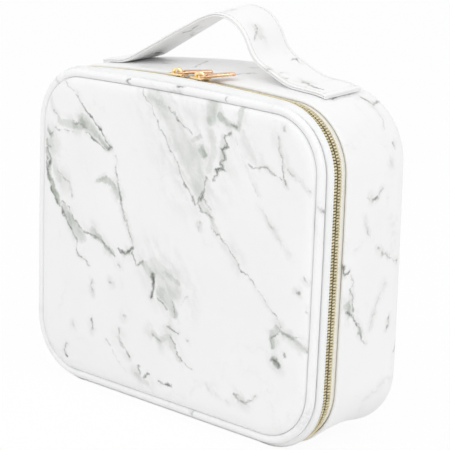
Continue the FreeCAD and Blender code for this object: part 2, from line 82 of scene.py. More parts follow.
# %% Outline
case_width = 262 * mm
case_height = 227 * mm
corner_radius = 44 * mm
side_crown = 0.4 * mm
top_crown = 1.2 * mm


def crown_radius(half_chord, rise):
    """Radius of an arc that rises this much over half its chord."""
    return (half_chord ** 2 + rise ** 2) / (2 * rise)


top_radius = crown_radius(case_width / 2 - corner_radius, top_crown)
side_radius = crown_radius(case_height / 2 - corner_radius, side_crown)
top_centre = Vector((0, 0, case_height - top_radius))
side_centre = Vector((case_width / 2 - side_radius, 0, case_height / 2))


def upper_corner_centre():
    """Centre of the corner arc that is tangent to the top arc and the side arc."""
    from_top = top_radius - corner_radius
    from_side = side_radius - corner_radius
    apart = side_centre - top_centre
    along = (from_top ** 2 - from_side ** 2 + apart.length_squared) / (2 * apart.length)
    across = math.sqrt(from_top ** 2 - along ** 2)
    sideways = Vector((-apart.z, 0, apart.x)).normalized()
    middle = top_centre + apart.normalized() * along
    return max((middle + sideways * across, middle - sideways * across), key=lambda spot: spot.x + spot.z)


def heading(centre, spot):
    return math.atan2(spot.z - centre.z, spot.x - centre.x)


upper_corner = upper_corner_centre()
lower_reach = math.sqrt((side_radius - corner_radius) ** 2 - (corner_radius - side_centre.z) ** 2)
lower_corner = Vector((side_centre.x + lower_reach, 0, corner_radius))
side_start = heading(side_centre, lower_corner)
side_end = heading(side_centre, upper_corner)
top_start = heading(top_centre, upper_corner)
right_arcs = [
    (lower_corner, corner_radius, -math.pi / 2, side_start),
    (side_centre, side_radius, side_start, side_end),
    (upper_corner, corner_radius, side_end, top_start),
    (top_centre, top_radius, top_start, math.pi / 2),
]
half_length = lower_corner.x + sum((end - start) * radius for _, radius, start, end in right_arcs)
print("outline length in mm:", round(2 * half_length / mm, 1))

# %% Walking round the outline
def on_outline(distance):
    """Place on the outside of the wall and the way outwards there, counted from the middle of the
    bottom to the right and round."""
    distance = distance % (2 * half_length)
    left = min(distance, 2 * half_length - distance)
    spot = Vector((left, 0, 0))
    outwards = Vector((0, 0, -1))
    if left > lower_corner.x:
        left -= lower_corner.x
        for centre, radius, start, end in right_arcs:
            reach = (end - start) * radius
            if left <= reach or centre is top_centre:
                angle = start + left / radius
                outwards = Vector((math.cos(angle), 0, math.sin(angle)))
                spot = centre + outwards * radius
                break
            left -= reach
    if distance > half_length:
        spot.x = -spot.x
        outwards.x = -outwards.x
    return spot, outwards


print("top of the outline in mm:", round(on_outline(half_length)[0].z / mm, 1))

# %% How the soft case has settled
front_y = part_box("lid_front_panel")[0].y
piping_y = front_y + 4.5 * mm
edge_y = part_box("body_gusset")[0].y
back_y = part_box("body_gusset")[1].y
lip_y = edge_y + 2.8 * mm
dome_rise = 6.2 * mm
dome_middle = 20 * mm
dome_reach = 75 * mm
side_sag = 2.4 * mm
corner_tuck = 4.8 * mm
tuck_start = 70 * mm
tuck_run = 30 * mm
tuck_height = 60 * mm
left_droop = 2.6 * mm
left_fade = 0.6
right_droop = 1.6 * mm
droop_reach = 88 * mm
droop_run = 4 * mm


def share_of(value, full):
    """Value as a share of the full one, kept between 0 and 1."""
    return min(max(value / full, 0), 1)


def depth_share(y):
    """0 in front of the wall's lip and 1 at the back."""
    return share_of(y - lip_y, back_y - lip_y)


def dome_at(x, y):
    """How far the handle has pulled up the top at this place."""
    return depth_share(y) * dome_rise * math.exp(-((x - dome_middle) / dome_reach) ** 2)


def tuck_at(spot):
    """How far a lower corner has given way, most at half the depth."""
    out = share_of(abs(spot.x) - tuck_start, tuck_run)
    low = 1 - share_of(spot.z, tuck_height)
    return corner_tuck * out * low * math.sin(math.pi * depth_share(spot.y))


def droop_at(spot):
    """How far the zip and the top behind it hang below the lid's edge, most at the ends of the top and less
    towards the back."""
    out = share_of(abs(spot.x), droop_reach) ** 2
    high = share_of(2 * spot.z - case_height, case_height)
    behind = share_of(spot.y - piping_y, droop_run)
    share = depth_share(spot.y)
    most = left_droop * (1 - left_fade * share ** 2) if spot.x < 0 else right_droop * (1 - share)
    return most * out * high * behind


def settled(spot):
    """A place of the true case moved to where the soft case has it."""
    height = (2 * spot.z / case_height) - 1
    sideways = -depth_share(spot.y) * side_sag * height * 2 * spot.x / case_width
    upwards = dome_at(spot.x, spot.y) * max(height, 0) ** 2 + tuck_at(spot) - droop_at(spot)
    return spot + Vector((sideways, 0, upwards))


print("dome at the back in mm:", round(dome_at(dome_middle, back_y) / mm, 1))

# %% [markdown]
# ## Pulling a ring through stations
# A wall or a tape could be a box with a bevel, but its section would then be wrong at the corners. A
# modeller would rather draw one closed ring and extrude it again and again, placing each new ring. That
# is what this helper does. Every point keeps its distance round the case as an attribute, so an extruded
# ring can be put on the outline at any inset and depth, and a weave can later follow the tape. The foam
# takes up most of the case's softness, so layers further in have settled less.

# %% Ring helper
ring_points = 288
case_middle = Vector((0, 0, case_height / 2))
foam_start = 2.1 * mm
foam_depth = 5 * mm
lining_give = 0.3


def deselect():
    if bpy.context.object and bpy.context.object.mode != "OBJECT":
        bpy.ops.object.mode_set(mode="OBJECT")
    bpy.ops.object.select_all(action="DESELECT")


def place_ring(piece, inset, y, shrink, across):
    """Puts the selected points on the outline. Shrink draws the ring towards the middle of the case."""
    mesh = bmesh.from_edit_mesh(piece.data)
    along_layer = mesh.verts.layers.float["along"]
    across_layer = mesh.verts.layers.float["across"]
    give = 1 - share_of(inset - foam_start, foam_depth) * (1 - lining_give)
    for point in mesh.verts:
        if point.select:
            spot, outwards = on_outline(point[along_layer])
            spot = case_middle.lerp(spot - outwards * inset, 1 - shrink)
            spot.y = y
            point.co = spot.lerp(settled(spot), give)
            point[across_layer] = across
    bmesh.update_edit_mesh(piece.data)


def sweep_round(name, stations, end="open"):
    """Shell through stations of (inset, depth) or (inset, depth, shrink). The end is left open, drawn to a
    pole or joined to the start."""
    deselect()
    bpy.ops.mesh.primitive_circle_add(vertices=ring_points, radius=case_width / 2)
    piece = bpy.context.object
    piece.name = name
    piece.data.name = name
    bpy.ops.object.mode_set(mode="EDIT")
    mesh = bmesh.from_edit_mesh(piece.data)
    along_layer = mesh.verts.layers.float.new("along")
    mesh.verts.layers.float.new("across")
    for index, point in enumerate(mesh.verts):
        point[along_layer] = index / ring_points * 2 * half_length
    bpy.ops.mesh.select_all(action="SELECT")
    across = 0
    last = None
    for station in stations:
        inset, y = station[:2]
        shrink = station[2] if len(station) > 2 else 0
        here = Vector((inset + shrink * case_height / 2, y))
        if last is not None:
            bpy.ops.mesh.extrude_region_move()
            across += (here - last).length
        place_ring(piece, inset, y, shrink, across)
        last = here
    if end == "pole":
        bpy.ops.mesh.merge(type="CENTER")
    if end == "joined":
        bpy.ops.mesh.select_all(action="DESELECT")
        bpy.ops.mesh.select_non_manifold()
        bpy.ops.mesh.bridge_edge_loops()
    bpy.ops.mesh.select_all(action="SELECT")
    bpy.ops.mesh.normals_make_consistent(inside=False)
    bpy.ops.object.mode_set(mode="OBJECT")
    bpy.ops.object.shade_smooth()
    return piece


print("ring spacing in mm:", round(2 * half_length / ring_points / mm, 2))

# %% Small modelling helpers
def pick(piece, kind, wanted):
    """Selects the verts, edges or faces of a piece in edit mode that pass a test, and nothing else."""
    bpy.ops.mesh.select_all(action="DESELECT")
    mesh = bmesh.from_edit_mesh(piece.data)
    for item in getattr(mesh, kind):
        item.select = wanted(item)
    mesh.select_flush_mode()


def run_of(edge):
    return (edge.verts[0].co - edge.verts[1].co).normalized()


def fill_start(piece):
    """Closes the open ring of a piece with a flat face."""
    bpy.ops.object.mode_set(mode="EDIT")
    bpy.ops.mesh.select_all(action="DESELECT")
    bpy.ops.mesh.select_non_manifold()
    bpy.ops.mesh.edge_face_add()
    bpy.ops.mesh.select_all(action="SELECT")
    bpy.ops.mesh.normals_make_consistent(inside=False)
    bpy.ops.object.mode_set(mode="OBJECT")


def add_modifier(piece, kind, **settings):
    """Adds a modifier, sets it and applies it."""
    deselect()
    piece.select_set(True)
    bpy.context.view_layer.objects.active = piece
    bpy.ops.object.modifier_add(type=kind)
    modifier = piece.modifiers[-1]
    for key, value in settings.items():
        setattr(modifier, key, value)
    bpy.ops.object.modifier_apply(modifier=modifier.name)


def arc_stations(inset, y, reach_in, reach_y, start, end, steps):
    """Stations on a quarter or any stretch of an ellipse round (inset, y), angles in degrees."""
    made = []
    for step in range(steps + 1):
        angle = math.radians(start + (end - start) * step / steps)
        made.append((inset + reach_in * math.cos(angle), y + reach_y * math.sin(angle)))
    return made


def faces_of(*pieces):
    return sum(len(piece.data.polygons) for piece in pieces)


print("modelling helpers ready")

# %% [markdown]
# ## Node helpers
# Shader trees are quicker to read when sums and mixes are one line each. These helpers add one node, feed
# its inputs with numbers or with other nodes' outputs and give back the output. Groups get their sockets
# first, so that a group reads as a small tool with named knobs.

# %% Shader helpers
def feed(tree, socket, value):
    if isinstance(value, bpy.types.NodeSocket):
        tree.links.new(value, socket)
    else:
        socket.default_value = value


def node(tree, kind, inputs=None, **settings):
    made = tree.nodes.new(kind)
    for key, value in settings.items():
        setattr(made, key, value)
    for key, value in (inputs or {}).items():
        feed(tree, made.inputs[key], value)
    return made


def number(tree, operation, *values):
    made = node(tree, "ShaderNodeMath", operation=operation)
    for socket, value in zip(made.inputs, values):
        feed(tree, socket, value)
    return made.outputs[0]


def vector(tree, operation, *values, scale=None):
    made = node(tree, "ShaderNodeVectorMath", operation=operation)
    for socket, value in zip(made.inputs, values):
        feed(tree, socket, value)
    if scale is not None:
        feed(tree, made.inputs["Scale"], scale)
    return made.outputs["Value" if operation in ("DOT_PRODUCT", "DISTANCE", "LENGTH") else "Vector"]


def spread(tree, value, low, high, to_low=0.0, to_high=1.0, smooth=True):
    """Value between low and high, spread over a new range."""
    made = node(tree, "ShaderNodeMapRange", clamp=not smooth,
                interpolation_type="SMOOTHSTEP" if smooth else "LINEAR")
    for key, number_or_socket in zip(("Value", "From Min", "From Max", "To Min", "To Max"),
                                     (value, low, high, to_low, to_high)):
        feed(tree, made.inputs[key], number_or_socket)
    return made.outputs["Result"]


def mix_colour(tree, factor, first, second):
    made = node(tree, "ShaderNodeMix", data_type="RGBA")
    feed(tree, made.inputs[0], factor)
    feed(tree, made.inputs[6], first)
    feed(tree, made.inputs[7], second)
    return made.outputs[2]


print("node helpers ready")

# %% Pattern, group and material helpers
def noise_at(tree, point, scale, detail=2.0, roughness=0.5, distortion=0.0):
    return node(tree, "ShaderNodeTexNoise", {"Vector": point, "Scale": scale, "Detail": detail,
                                             "Roughness": roughness, "Distortion": distortion})


def leaned(tree, point, lean, stretch):
    """Point on a plane that is turned and stretched, so that a pattern on it leans and runs long."""
    return node(tree, "ShaderNodeMapping", {"Vector": point, "Rotation": lean, "Scale": stretch},
                vector_type="TEXTURE").outputs["Vector"]


def roughen(tree, shader, strength, distance, height):
    """Gives the shader a bump from a height."""
    bump = node(tree, "ShaderNodeBump", {"Strength": strength, "Distance": distance, "Height": height})
    feed(tree, shader.inputs["Normal"], bump.outputs["Normal"])


def new_group(name, inputs, outputs):
    """Empty shader group with named sockets. Gives the tree and the two end nodes."""
    tree = bpy.data.node_groups.new(name, "ShaderNodeTree")
    for title, kind in inputs:
        tree.interface.new_socket(title, in_out="INPUT", socket_type="NodeSocket" + kind)
    for title, kind in outputs:
        tree.interface.new_socket(title, in_out="OUTPUT", socket_type="NodeSocket" + kind)
    return tree, tree.nodes.new("NodeGroupInput"), tree.nodes.new("NodeGroupOutput")


def use_group(tree, group, **inputs):
    made = node(tree, "ShaderNodeGroup", node_tree=group)
    for key, value in inputs.items():
        feed(tree, made.inputs[key.replace("_", " ")], value)
    return made


def new_material(name):
    """Material with a fresh Principled shader. Gives the material, its tree and the shader."""
    material = bpy.data.materials.new(name)
    material.use_nodes = True
    tree = material.node_tree
    return material, tree, tree.nodes["Principled BSDF"]


def srgb(red, green, blue):
    """Colour as a picture program shows it, from 0 to 255, as the shader's linear colour."""
    linear = [(part / 255 / 12.92 if part < 11 else ((part / 255 + 0.055) / 1.055) ** 2.4)
              for part in (red, green, blue)]
    return (*linear, 1.0)


def paint(piece, material):
    piece.data.materials.clear()
    piece.data.materials.append(material)


print("group and material helpers ready")

# %% [markdown]
# ## Marble print
# The print on the leather is white with soft grey-green clouds and thin dark veins that break and wander.
# A noise texture alone gives veins in the wrong places, and the eye compares places first. So the veins
# that the front shows are listed one by one as short straight runs, one small group each that measures the
# distance to its run. A warp group bends the plane that they are drawn on, which makes straight runs
# wander like mineral veins. A third group adds faint drifting veins for the sides that nobody sees in
# the photo.

# %% Warp group
noise_middle = (0.5, 0.5, 0.5)
fine_share = 1.7


def warp_group():
    """Bends the surface that the veins are drawn on, without leaving it."""
    tree, given, out = new_group(
        "marble warp",
        [("Point", "Vector"), ("Normal", "Vector"), ("Reach", "Float")],
        [("Point", "Vector")])
    point = given.outputs["Point"]
    normal = given.outputs["Normal"]
    wide = noise_at(tree, point, 38.0, 1.0).outputs["Color"]
    fine = noise_at(tree, point, 190.0, 4.0, 0.64).outputs["Color"]
    wide = vector(tree, "SUBTRACT", wide, noise_middle)
    fine = vector(tree, "SUBTRACT", fine, noise_middle)
    fine = vector(tree, "SCALE", fine, scale=fine_share)
    bend = vector(tree, "ADD", wide, fine)
    outwards = vector(tree, "DOT_PRODUCT", bend, normal)
    bend = vector(tree, "SUBTRACT", bend, vector(tree, "SCALE", normal, scale=outwards))
    bend = vector(tree, "SCALE", bend, scale=given.outputs["Reach"])
    feed(tree, out.inputs["Point"], vector(tree, "ADD", point, bend))
    return tree


marble_warp = warp_group()
print("group made:", marble_warp.name)

# %% Vein group
def vein_group():
    """One straight run of a vein, or a cloud round it, as a ridge: its strength along the middle, 0 at its
    foot and falling on below 0 outside, so that noise can still lift or break its edge."""
    tree, given, out = new_group(
        "vein run",
        [("Point", "Vector"), ("Start", "Vector"), ("Run", "Vector"), ("Square", "Float"),
         ("Start width", "Float"), ("Growth", "Float"), ("Inner", "Float"), ("Outer", "Float"),
         ("Strength", "Float")],
        [("Ridge", "Float")])
    knob = given.outputs
    away = vector(tree, "SUBTRACT", knob["Point"], knob["Start"])
    share = number(tree, "DIVIDE", vector(tree, "DOT_PRODUCT", away, knob["Run"]), knob["Square"])
    share = number(tree, "MINIMUM", number(tree, "MAXIMUM", share, 0.0), 1.0)
    gap = vector(tree, "DISTANCE", away, vector(tree, "SCALE", knob["Run"], scale=share))
    width = number(tree, "MULTIPLY_ADD", share, knob["Growth"], knob["Start width"])
    inside = number(tree, "SUBTRACT", knob["Outer"], number(tree, "DIVIDE", gap, width))
    slope = number(tree, "DIVIDE", inside, number(tree, "SUBTRACT", knob["Outer"], knob["Inner"]))
    ridge = number(tree, "MULTIPLY", number(tree, "MINIMUM", slope, 1.0), knob["Strength"])
    feed(tree, out.inputs["Ridge"], ridge)
    return tree


vein_run = vein_group()
print("group made:", vein_run.name)

# %% Drift group
drift_lean = (0.0, math.radians(48), math.radians(40))
drift_stretch = (2.4, 1.0, 1.0)
drift_bend = 45 * mm


def drift_group():
    """Veins without a plan: the borders between long leaning cells, bent, broken and beside clouds."""
    tree, given, out = new_group(
        "marble drift",
        [("Point", "Vector"), ("Amount", "Float")],
        [("Cloud", "Float"), ("Line", "Float")])
    point = given.outputs["Point"]
    bend = vector(tree, "SUBTRACT", noise_at(tree, point, 26.0, 5.0, 0.6).outputs["Color"], noise_middle)
    bent = vector(tree, "ADD", point, vector(tree, "SCALE", bend, scale=drift_bend))
    leaning = leaned(tree, bent, drift_lean, drift_stretch)
    border = node(tree, "ShaderNodeTexVoronoi", {"Vector": leaning, "Scale": 19.0},
                  feature="DISTANCE_TO_EDGE").outputs["Distance"]
    where = noise_at(tree, point, 20.0, 4.0, 0.6).outputs["Fac"]
    mottle = noise_at(tree, bent, 120.0, 4.0, 0.62).outputs["Fac"]
    places = number(tree, "MULTIPLY", spread(tree, where, 0.40, 0.62), given.outputs["Amount"])
    line = spread(tree, border, 0.002, 0.016, 0.75, 0.0)
    line = number(tree, "MULTIPLY", line, spread(tree, mottle, 0.36, 0.56))
    cloud = spread(tree, border, 0.0, 0.13, 0.7, 0.0)
    cloud = number(tree, "MULTIPLY", cloud, spread(tree, mottle, 0.40, 0.64))
    feed(tree, out.inputs["Line"], number(tree, "MULTIPLY", line, places))
    feed(tree, out.inputs["Cloud"], number(tree, "MULTIPLY", cloud, places))
    return tree


marble_drift = drift_group()
print("group made:", marble_drift.name)

# %% [markdown]
# ## Leather grain
# Under the gloss the leather has a fine pebble grain, about 0.7 mm across, and a slower unevenness
# from the foam below. Both are bump, since neither changes the outline. The group gives a height and a
# small change of roughness, so one finish serves walls, handle, piping and hinge.

# %% Grain group
def grain_group():
    tree, given, out = new_group(
        "leather grain",
        [("Point", "Vector")],
        [("Height", "Float"), ("Gloss", "Float")])
    point = given.outputs["Point"]
    pebbles = node(tree, "ShaderNodeTexVoronoi", {"Vector": point, "Scale": 1500.0}).outputs["Distance"]
    swell = noise_at(tree, point, 60.0, 2.0).outputs["Fac"]
    height = number(tree, "MULTIPLY_ADD", swell, 2.0, pebbles)
    feed(tree, out.inputs["Height"], height)
    feed(tree, out.inputs["Gloss"], noise_at(tree, point, 220.0, 3.0).outputs["Fac"])
    return tree


leather_grain = grain_group()
print("group made:", leather_grain.name)

# %% [markdown]
# ## Printed leather
# The finish lays the print over the grain. It takes the highest of all cloud runs and the highest of all
# line runs at each place, frays their edges with noise and mixes grey clouds and dark lines over white. A
# pale mist round the veins keeps them from looking drawn on. The parts of the case that the photo doesn't
# show get the drifting veins instead.

# %% Printed leather
marble_white = srgb(248, 248, 248)
marble_shade = srgb(240, 240, 240)
marble_grey = srgb(166, 173, 163)
marble_dark = srgb(92, 96, 88)
marble_reach = 4 * mm
cloud_edge = (0.4, 1.15)
line_edge = (0.0, 2.2)
cloud_fray = 0.8
line_fray = 1.7
hidden_drift = 0.95
shown_side = Vector((0.65, -0.72, 0.25))
streak_lean = (0.0, math.radians(55), 0.0)
streak_stretch = (2.6, 1.0, 1.0)
grain_strength = 0.12
grain_depth = 0.3 * mm


def ridge_over(tree, veins, edge, plane, flatten):
    """Height of the highest vein at each place, well below 0 where there is none near."""
    total = -2.0
    for first_width, last_width, strength, spots in veins:
        growth = (last_width - first_width) / max(1, len(spots) - 1)
        for index, (start, end) in enumerate(zip(spots, spots[1:])):
            start = start * Vector(flatten)
            run = end * Vector(flatten) - start
            ridge = use_group(tree, vein_run, Point=plane, Start=start, Run=run, Square=run.length_squared,
                              Start_width=first_width + growth * index, Growth=growth,
                              Inner=edge[0], Outer=edge[1], Strength=strength).outputs["Ridge"]
            total = number(tree, "MAXIMUM", total, ridge)
    return total


def marble_leather(name, clouds=(), lines=(), flatten=(1, 1, 1), drift=0.1):
    """Printed leather. A vein is (width at its start, width at its end, strength, places on the piece), its
    width from its middle to its edge. Drift is the amount of faint veins on the sides that the photo
    shows."""
    material, tree, shader = new_material(name)
    given = node(tree, "ShaderNodeTexCoord")
    place = given.outputs["Object"]
    point = use_group(tree, marble_warp, Point=place, Normal=given.outputs["Normal"],
                      Reach=marble_reach).outputs["Point"]
    plane = vector(tree, "MULTIPLY", point, flatten)
    cloud_ridge = ridge_over(tree, clouds, cloud_edge, plane, flatten)
    line_ridge = ridge_over(tree, lines, line_edge, plane, flatten)
    any_ridge = number(tree, "MAXIMUM", cloud_ridge, line_ridge)
    streaks = noise_at(tree, leaned(tree, point, streak_lean, streak_stretch), 130.0, 4.0, 0.6).outputs["Fac"]
    ragged = number(tree, "SUBTRACT", noise_at(tree, place, 150.0, 5.0, 0.66).outputs["Fac"], 0.5)
    shown = vector(tree, "DOT_PRODUCT", given.outputs["Normal"], shown_side)
    faint = use_group(tree, marble_drift, Point=point,
                      Amount=spread(tree, shown, -0.15, 0.1, hidden_drift, drift))
    edge = spread(tree, number(tree, "MULTIPLY_ADD", ragged, cloud_fray, cloud_ridge), 0.06, 0.32)
    tone = number(tree, "MAXIMUM", cloud_ridge, 0.2)
    tone = number(tree, "MULTIPLY", tone, spread(tree, streaks, 0.3, 0.7, 0.45, 1.2))
    cloud = number(tree, "MAXIMUM", number(tree, "MULTIPLY", edge, tone), faint.outputs["Cloud"])
    mist = spread(tree, any_ridge, -1.3, 0.3, 0.0, 0.26)
    mist = number(tree, "MULTIPLY", mist, spread(tree, streaks, 0.38, 0.66))
    cloud = number(tree, "MAXIMUM", cloud, mist)
    line = spread(tree, number(tree, "MULTIPLY_ADD", ragged, line_fray, line_ridge), 0.05, 1.25)
    line = number(tree, "MAXIMUM", line, faint.outputs["Line"])
    ground = mix_colour(tree, noise_at(tree, place, 14.0, 2.0).outputs["Fac"], marble_shade, marble_white)
    colour = mix_colour(tree, cloud, ground, marble_grey)
    colour = mix_colour(tree, line, colour, marble_dark)
    feed(tree, shader.inputs["Base Color"], colour)
    grain = use_group(tree, leather_grain, Point=place)
    gloss = spread(tree, grain.outputs["Gloss"], 0.2, 0.8, 0.30, 0.42, smooth=False)
    feed(tree, shader.inputs["Roughness"], gloss)
    roughen(tree, shader, grain_strength, grain_depth, grain.outputs["Height"])
    shader.inputs["Specular IOR Level"].default_value = 0.45
    return material


print("leather finish ready")

# %% [markdown]
# ## Camera and light
# The photo was taken with a long lens from the front right and a little above, which keeps upright edges
# nearly parallel. The place, the roll and the shift below were fitted to the outline in the photo. The
# light is a plain high-key studio: a pale world that is brighter overhead, one large soft lamp at the front
# left and another at the right. The floor lets most of the white backdrop through, so it shows only a soft
# shadow.

# %% Camera
camera_azimuth = math.radians(42.25)
camera_elevation = math.radians(14.26)
camera_roll = math.radians(1.92)
camera_distance = 1.1788
camera_aim = Vector((0, 0, 0.113))
camera_lens = 139.9
camera_film = 36
camera_shift = (0.0309, 0.0344)
towards_camera = Vector((
    math.sin(camera_azimuth) * math.cos(camera_elevation),
    -math.cos(camera_azimuth) * math.cos(camera_elevation),
    math.sin(camera_elevation)))

deselect()
bpy.ops.object.camera_add(location=camera_aim + towards_camera * camera_distance)
camera = bpy.context.object
camera.name = "photo_camera"
camera.rotation_mode = "QUATERNION"
camera.rotation_quaternion = towards_camera.to_track_quat("Z", "Y") @ Quaternion((0, 0, 1), camera_roll)
camera.data.lens = camera_lens
camera.data.sensor_width = camera_film
camera.data.shift_x, camera.data.shift_y = camera_shift
scene = bpy.context.scene
scene.camera = camera
scene.view_settings.view_transform = "Standard"
print("camera at", [round(part, 3) for part in camera.location])

# %% Lamps and world
level_light = 0.57
overhead_light = 0.93


def soft_lamp(name, place, size, power):
    """Square soft lamp that points at the middle of the case."""
    bpy.ops.object.light_add(type="AREA", location=place)
    lamp = bpy.context.object
    lamp.name = name
    lamp.data.size = size
    lamp.data.energy = power
    lamp.rotation_euler = (Vector(place) - case_middle).to_track_quat("Z", "Y").to_euler()


soft_lamp("front_lamp", place=(-0.5, -1.3, 1.5), size=1.3, power=6.5)
soft_lamp("right_lamp", place=(1.5, -0.5, 1.2), size=1.2, power=8)


def seen_directly(tree):
    """1 for rays from the camera, from a reflection or through glass, which see the white backdrop."""
    path = node(tree, "ShaderNodeLightPath").outputs
    seen = number(tree, "MAXIMUM", path["Is Camera Ray"], path["Is Glossy Ray"])
    return number(tree, "MAXIMUM", seen, path["Is Transmission Ray"])


world = bpy.data.worlds.new("pale_studio")
world.use_nodes = True
scene.world = world
studio = world.node_tree
background = studio.nodes["Background"]
background.inputs["Color"].default_value = (1, 1, 1, 1)
sky_direction = node(studio, "ShaderNodeTexCoord").outputs["Generated"]
sky_height = node(studio, "ShaderNodeSeparateXYZ", {"Vector": sky_direction}).outputs["Z"]
sky_light = spread(studio, sky_height, 0, 1, level_light, overhead_light, smooth=False)
feed(studio, background.inputs["Strength"], number(studio, "MAXIMUM", seen_directly(studio), sky_light))
print("lamps:", len(bpy.data.lights))

# %% Floor
floor_size = 8
floor_grey = 0.9
shadow_share = 0.05

deselect()
bpy.ops.mesh.primitive_plane_add(size=floor_size)
floor = bpy.context.object
floor.name = "floor"
floor_material, floor_tree, floor_shader = new_material("pale_floor")
floor_shader.inputs["Base Color"].default_value = (floor_grey, floor_grey, floor_grey, 1)
floor_shader.inputs["Roughness"].default_value = 0.9
clear = node(floor_tree, "ShaderNodeBsdfTransparent")
through = node(floor_tree, "ShaderNodeMixShader")
clear_share = number(floor_tree, "MULTIPLY", seen_directly(floor_tree), 1 - shadow_share)
feed(floor_tree, through.inputs[0], clear_share)
feed(floor_tree, through.inputs[1], floor_shader.outputs[0])
feed(floor_tree, through.inputs[2], clear.outputs[0])
feed(floor_tree, floor_tree.nodes["Material Output"].inputs["Surface"], through.outputs[0])
paint(floor, floor_material)
print("floor keeps this share of the shadow:", shadow_share)

# %% [markdown]
# ## Walls and back
# The wall is one long strip of leather round the case. Its front edge is turned in, which gives a soft
# rounded lip beside the zip, and its back edge rolls over to a sewn-in back panel. The ring helper draws
# both: the lip, the wall, the roll, then a groove for the seam and a slightly cushioned panel.

# %% Walls
lid_joint = next(joint for joint in frame["joints"] if joint["name"] == "lid_hinge")
zip_y = lid_joint["pos_m"][1]
skin = 2 * mm
back_roll = 13 * mm
back_seam = 18 * mm
turned_in = 5 * mm
wall_run = back_y - back_roll - lip_y
back_swell = 1.4 * mm

wall_stations = [(skin, lip_y + turned_in), (skin, lip_y + skin / 2)]
wall_stations += arc_stations(skin / 2, lip_y + skin / 2, skin / 2, skin / 2, 0, -180, 8)[1:]
wall_stations += [(0, lip_y + share * wall_run) for share in (0.1, 0.25, 0.4, 0.55, 0.7, 0.85)]
wall_stations += arc_stations(back_roll, back_y - back_roll, -back_roll, back_roll, 0, 90, 10)
wall_stations += [(back_seam - 1.6 * mm, back_y), (back_seam - 0.5 * mm, back_y - 0.5 * mm),
                  (back_seam, back_y - 1.3 * mm), (back_seam, back_y - skin)]
walls = sweep_round("wall_leather", wall_stations)
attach(walls, "body")
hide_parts("body_gusset")

panel_stations = [(back_seam, back_y - skin), (back_seam + 0.2 * mm, back_y - 1.3 * mm),
                  (back_seam + 0.7 * mm, back_y - 0.5 * mm), (back_seam + 1.8 * mm, back_y)]
panel_stations += [(back_seam + 1.8 * mm, back_y + back_swell * (1 - (1 - share) ** 2), share)
                   for share in (0.06, 0.14, 0.24, 0.36, 0.5, 0.65, 0.8, 0.93)]
back = sweep_round("back_leather", panel_stations, end="pole")
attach(back, "body")
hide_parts("back_panel")
print("wall and back faces:", faces_of(walls, back))

# %% [markdown]
# ## Front pad of the lid
# The lid's front is leather over a thin foam. Its face is nearly flat, with a slight swell, and its edge
# rolls back into the piping seam. The pad is a closed form: a ring pulled round the roll and over the
# face to a pole, with its back filled flat where it lies on the board.

# %% Front pad
pad_inset = 9.4 * mm
pad_back_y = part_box("lid_board")[0].y - 0.1 * mm
roll_width = 9 * mm
roll_depth = 3.3 * mm
face_inset = pad_inset + roll_width
face_swell = 1.2 * mm

pad_stations = [(pad_inset + 0.3 * mm, pad_back_y), (pad_inset, pad_back_y - 0.5 * mm)]
pad_stations += arc_stations(face_inset, front_y + roll_depth, -roll_width, -roll_depth, 0, 90, 10)
pad_stations += [(face_inset, front_y - face_swell * (1 - (1 - share) ** 2), share)
                 for share in (0.04, 0.09, 0.15, 0.22, 0.3, 0.4, 0.5, 0.62, 0.74, 0.86, 0.95)]
pad = sweep_round("front_pad", pad_stations, end="pole")
fill_start(pad)
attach(pad, "lid")
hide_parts("lid_front_panel", "lid_foam")
print("front pad faces:", faces_of(pad))

# %% [markdown]
# ## Piping
# A leather tube over a cord covers the seam round the lid. It is a ring whose stations go round a small
# circle and join up. Where the tube's two ends meet at the upper left corner, one end is slipped over the
# other, so a short sleeve of the same tube, a little larger, sits there.

# %% Piping
piping_inset = 6.65 * mm
piping_radius = 2.85 * mm
piping_skin = 0.85 * mm
sleeve_skin = 0.5 * mm
sleeve_gap = 0.28 * mm
sleeve_start = 555 * mm
sleeve_length = 11 * mm
tube_sides = 14


def tube_round(name, inset, y, radius):
    stations = arc_stations(inset, y, radius, radius, 0, 360, tube_sides)[:-1]
    return sweep_round(name, stations, end="joined")


piping = tube_round("piping_tube", piping_inset, piping_y, piping_radius)
piping_cord = tube_round("piping_cord", piping_inset, piping_y, piping_radius - piping_skin)
sleeve = tube_round("piping_sleeve", piping_inset, piping_y, piping_radius + sleeve_gap)
bpy.ops.object.mode_set(mode="EDIT")
along_layer = bmesh.from_edit_mesh(sleeve.data).verts.layers.float["along"]
sleeve_end = sleeve_start + sleeve_length
pick(sleeve, "verts", lambda point: not sleeve_start < point[along_layer] < sleeve_end)
bpy.ops.mesh.delete(type="VERT")
bpy.ops.object.mode_set(mode="OBJECT")
add_modifier(sleeve, "SOLIDIFY", thickness=sleeve_skin, offset=-1)
for piece, node_name in ((piping, "lid_piping"), (piping_cord, "lid_piping_cord")):
    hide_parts(node_name)
for piece in (piping, piping_cord, sleeve):
    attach(piece, "lid")
print("piping faces:", faces_of(piping, piping_cord, sleeve))

# %% [markdown]
# ## Zip tapes
# Each half of the zip is sewn to a woven tape. The lid's tape comes out from behind the piping, swells up
# to the tops of the teeth, a little higher along the top, dips and carries one row of them. The body's tape
# goes from its teeth to under the lip of the wall. Both stop at the hinge strip along the bottom, so those
# faces are cut away.

# %% Zip tapes
tape_inset = 2.1 * mm
tape_thickness = 0.7 * mm
tape_gap = 0.6 * mm
tape_tuck = 9 * mm
hinge_half = lower_corner.x - 1.5 * mm
tape_root = (5.0 * mm, piping_y + 2.4 * mm)
tape_crest = (0.25 * mm, zip_y - 4.0 * mm)
crest_lift = 0.45 * mm
crest_half = 0.35 * mm


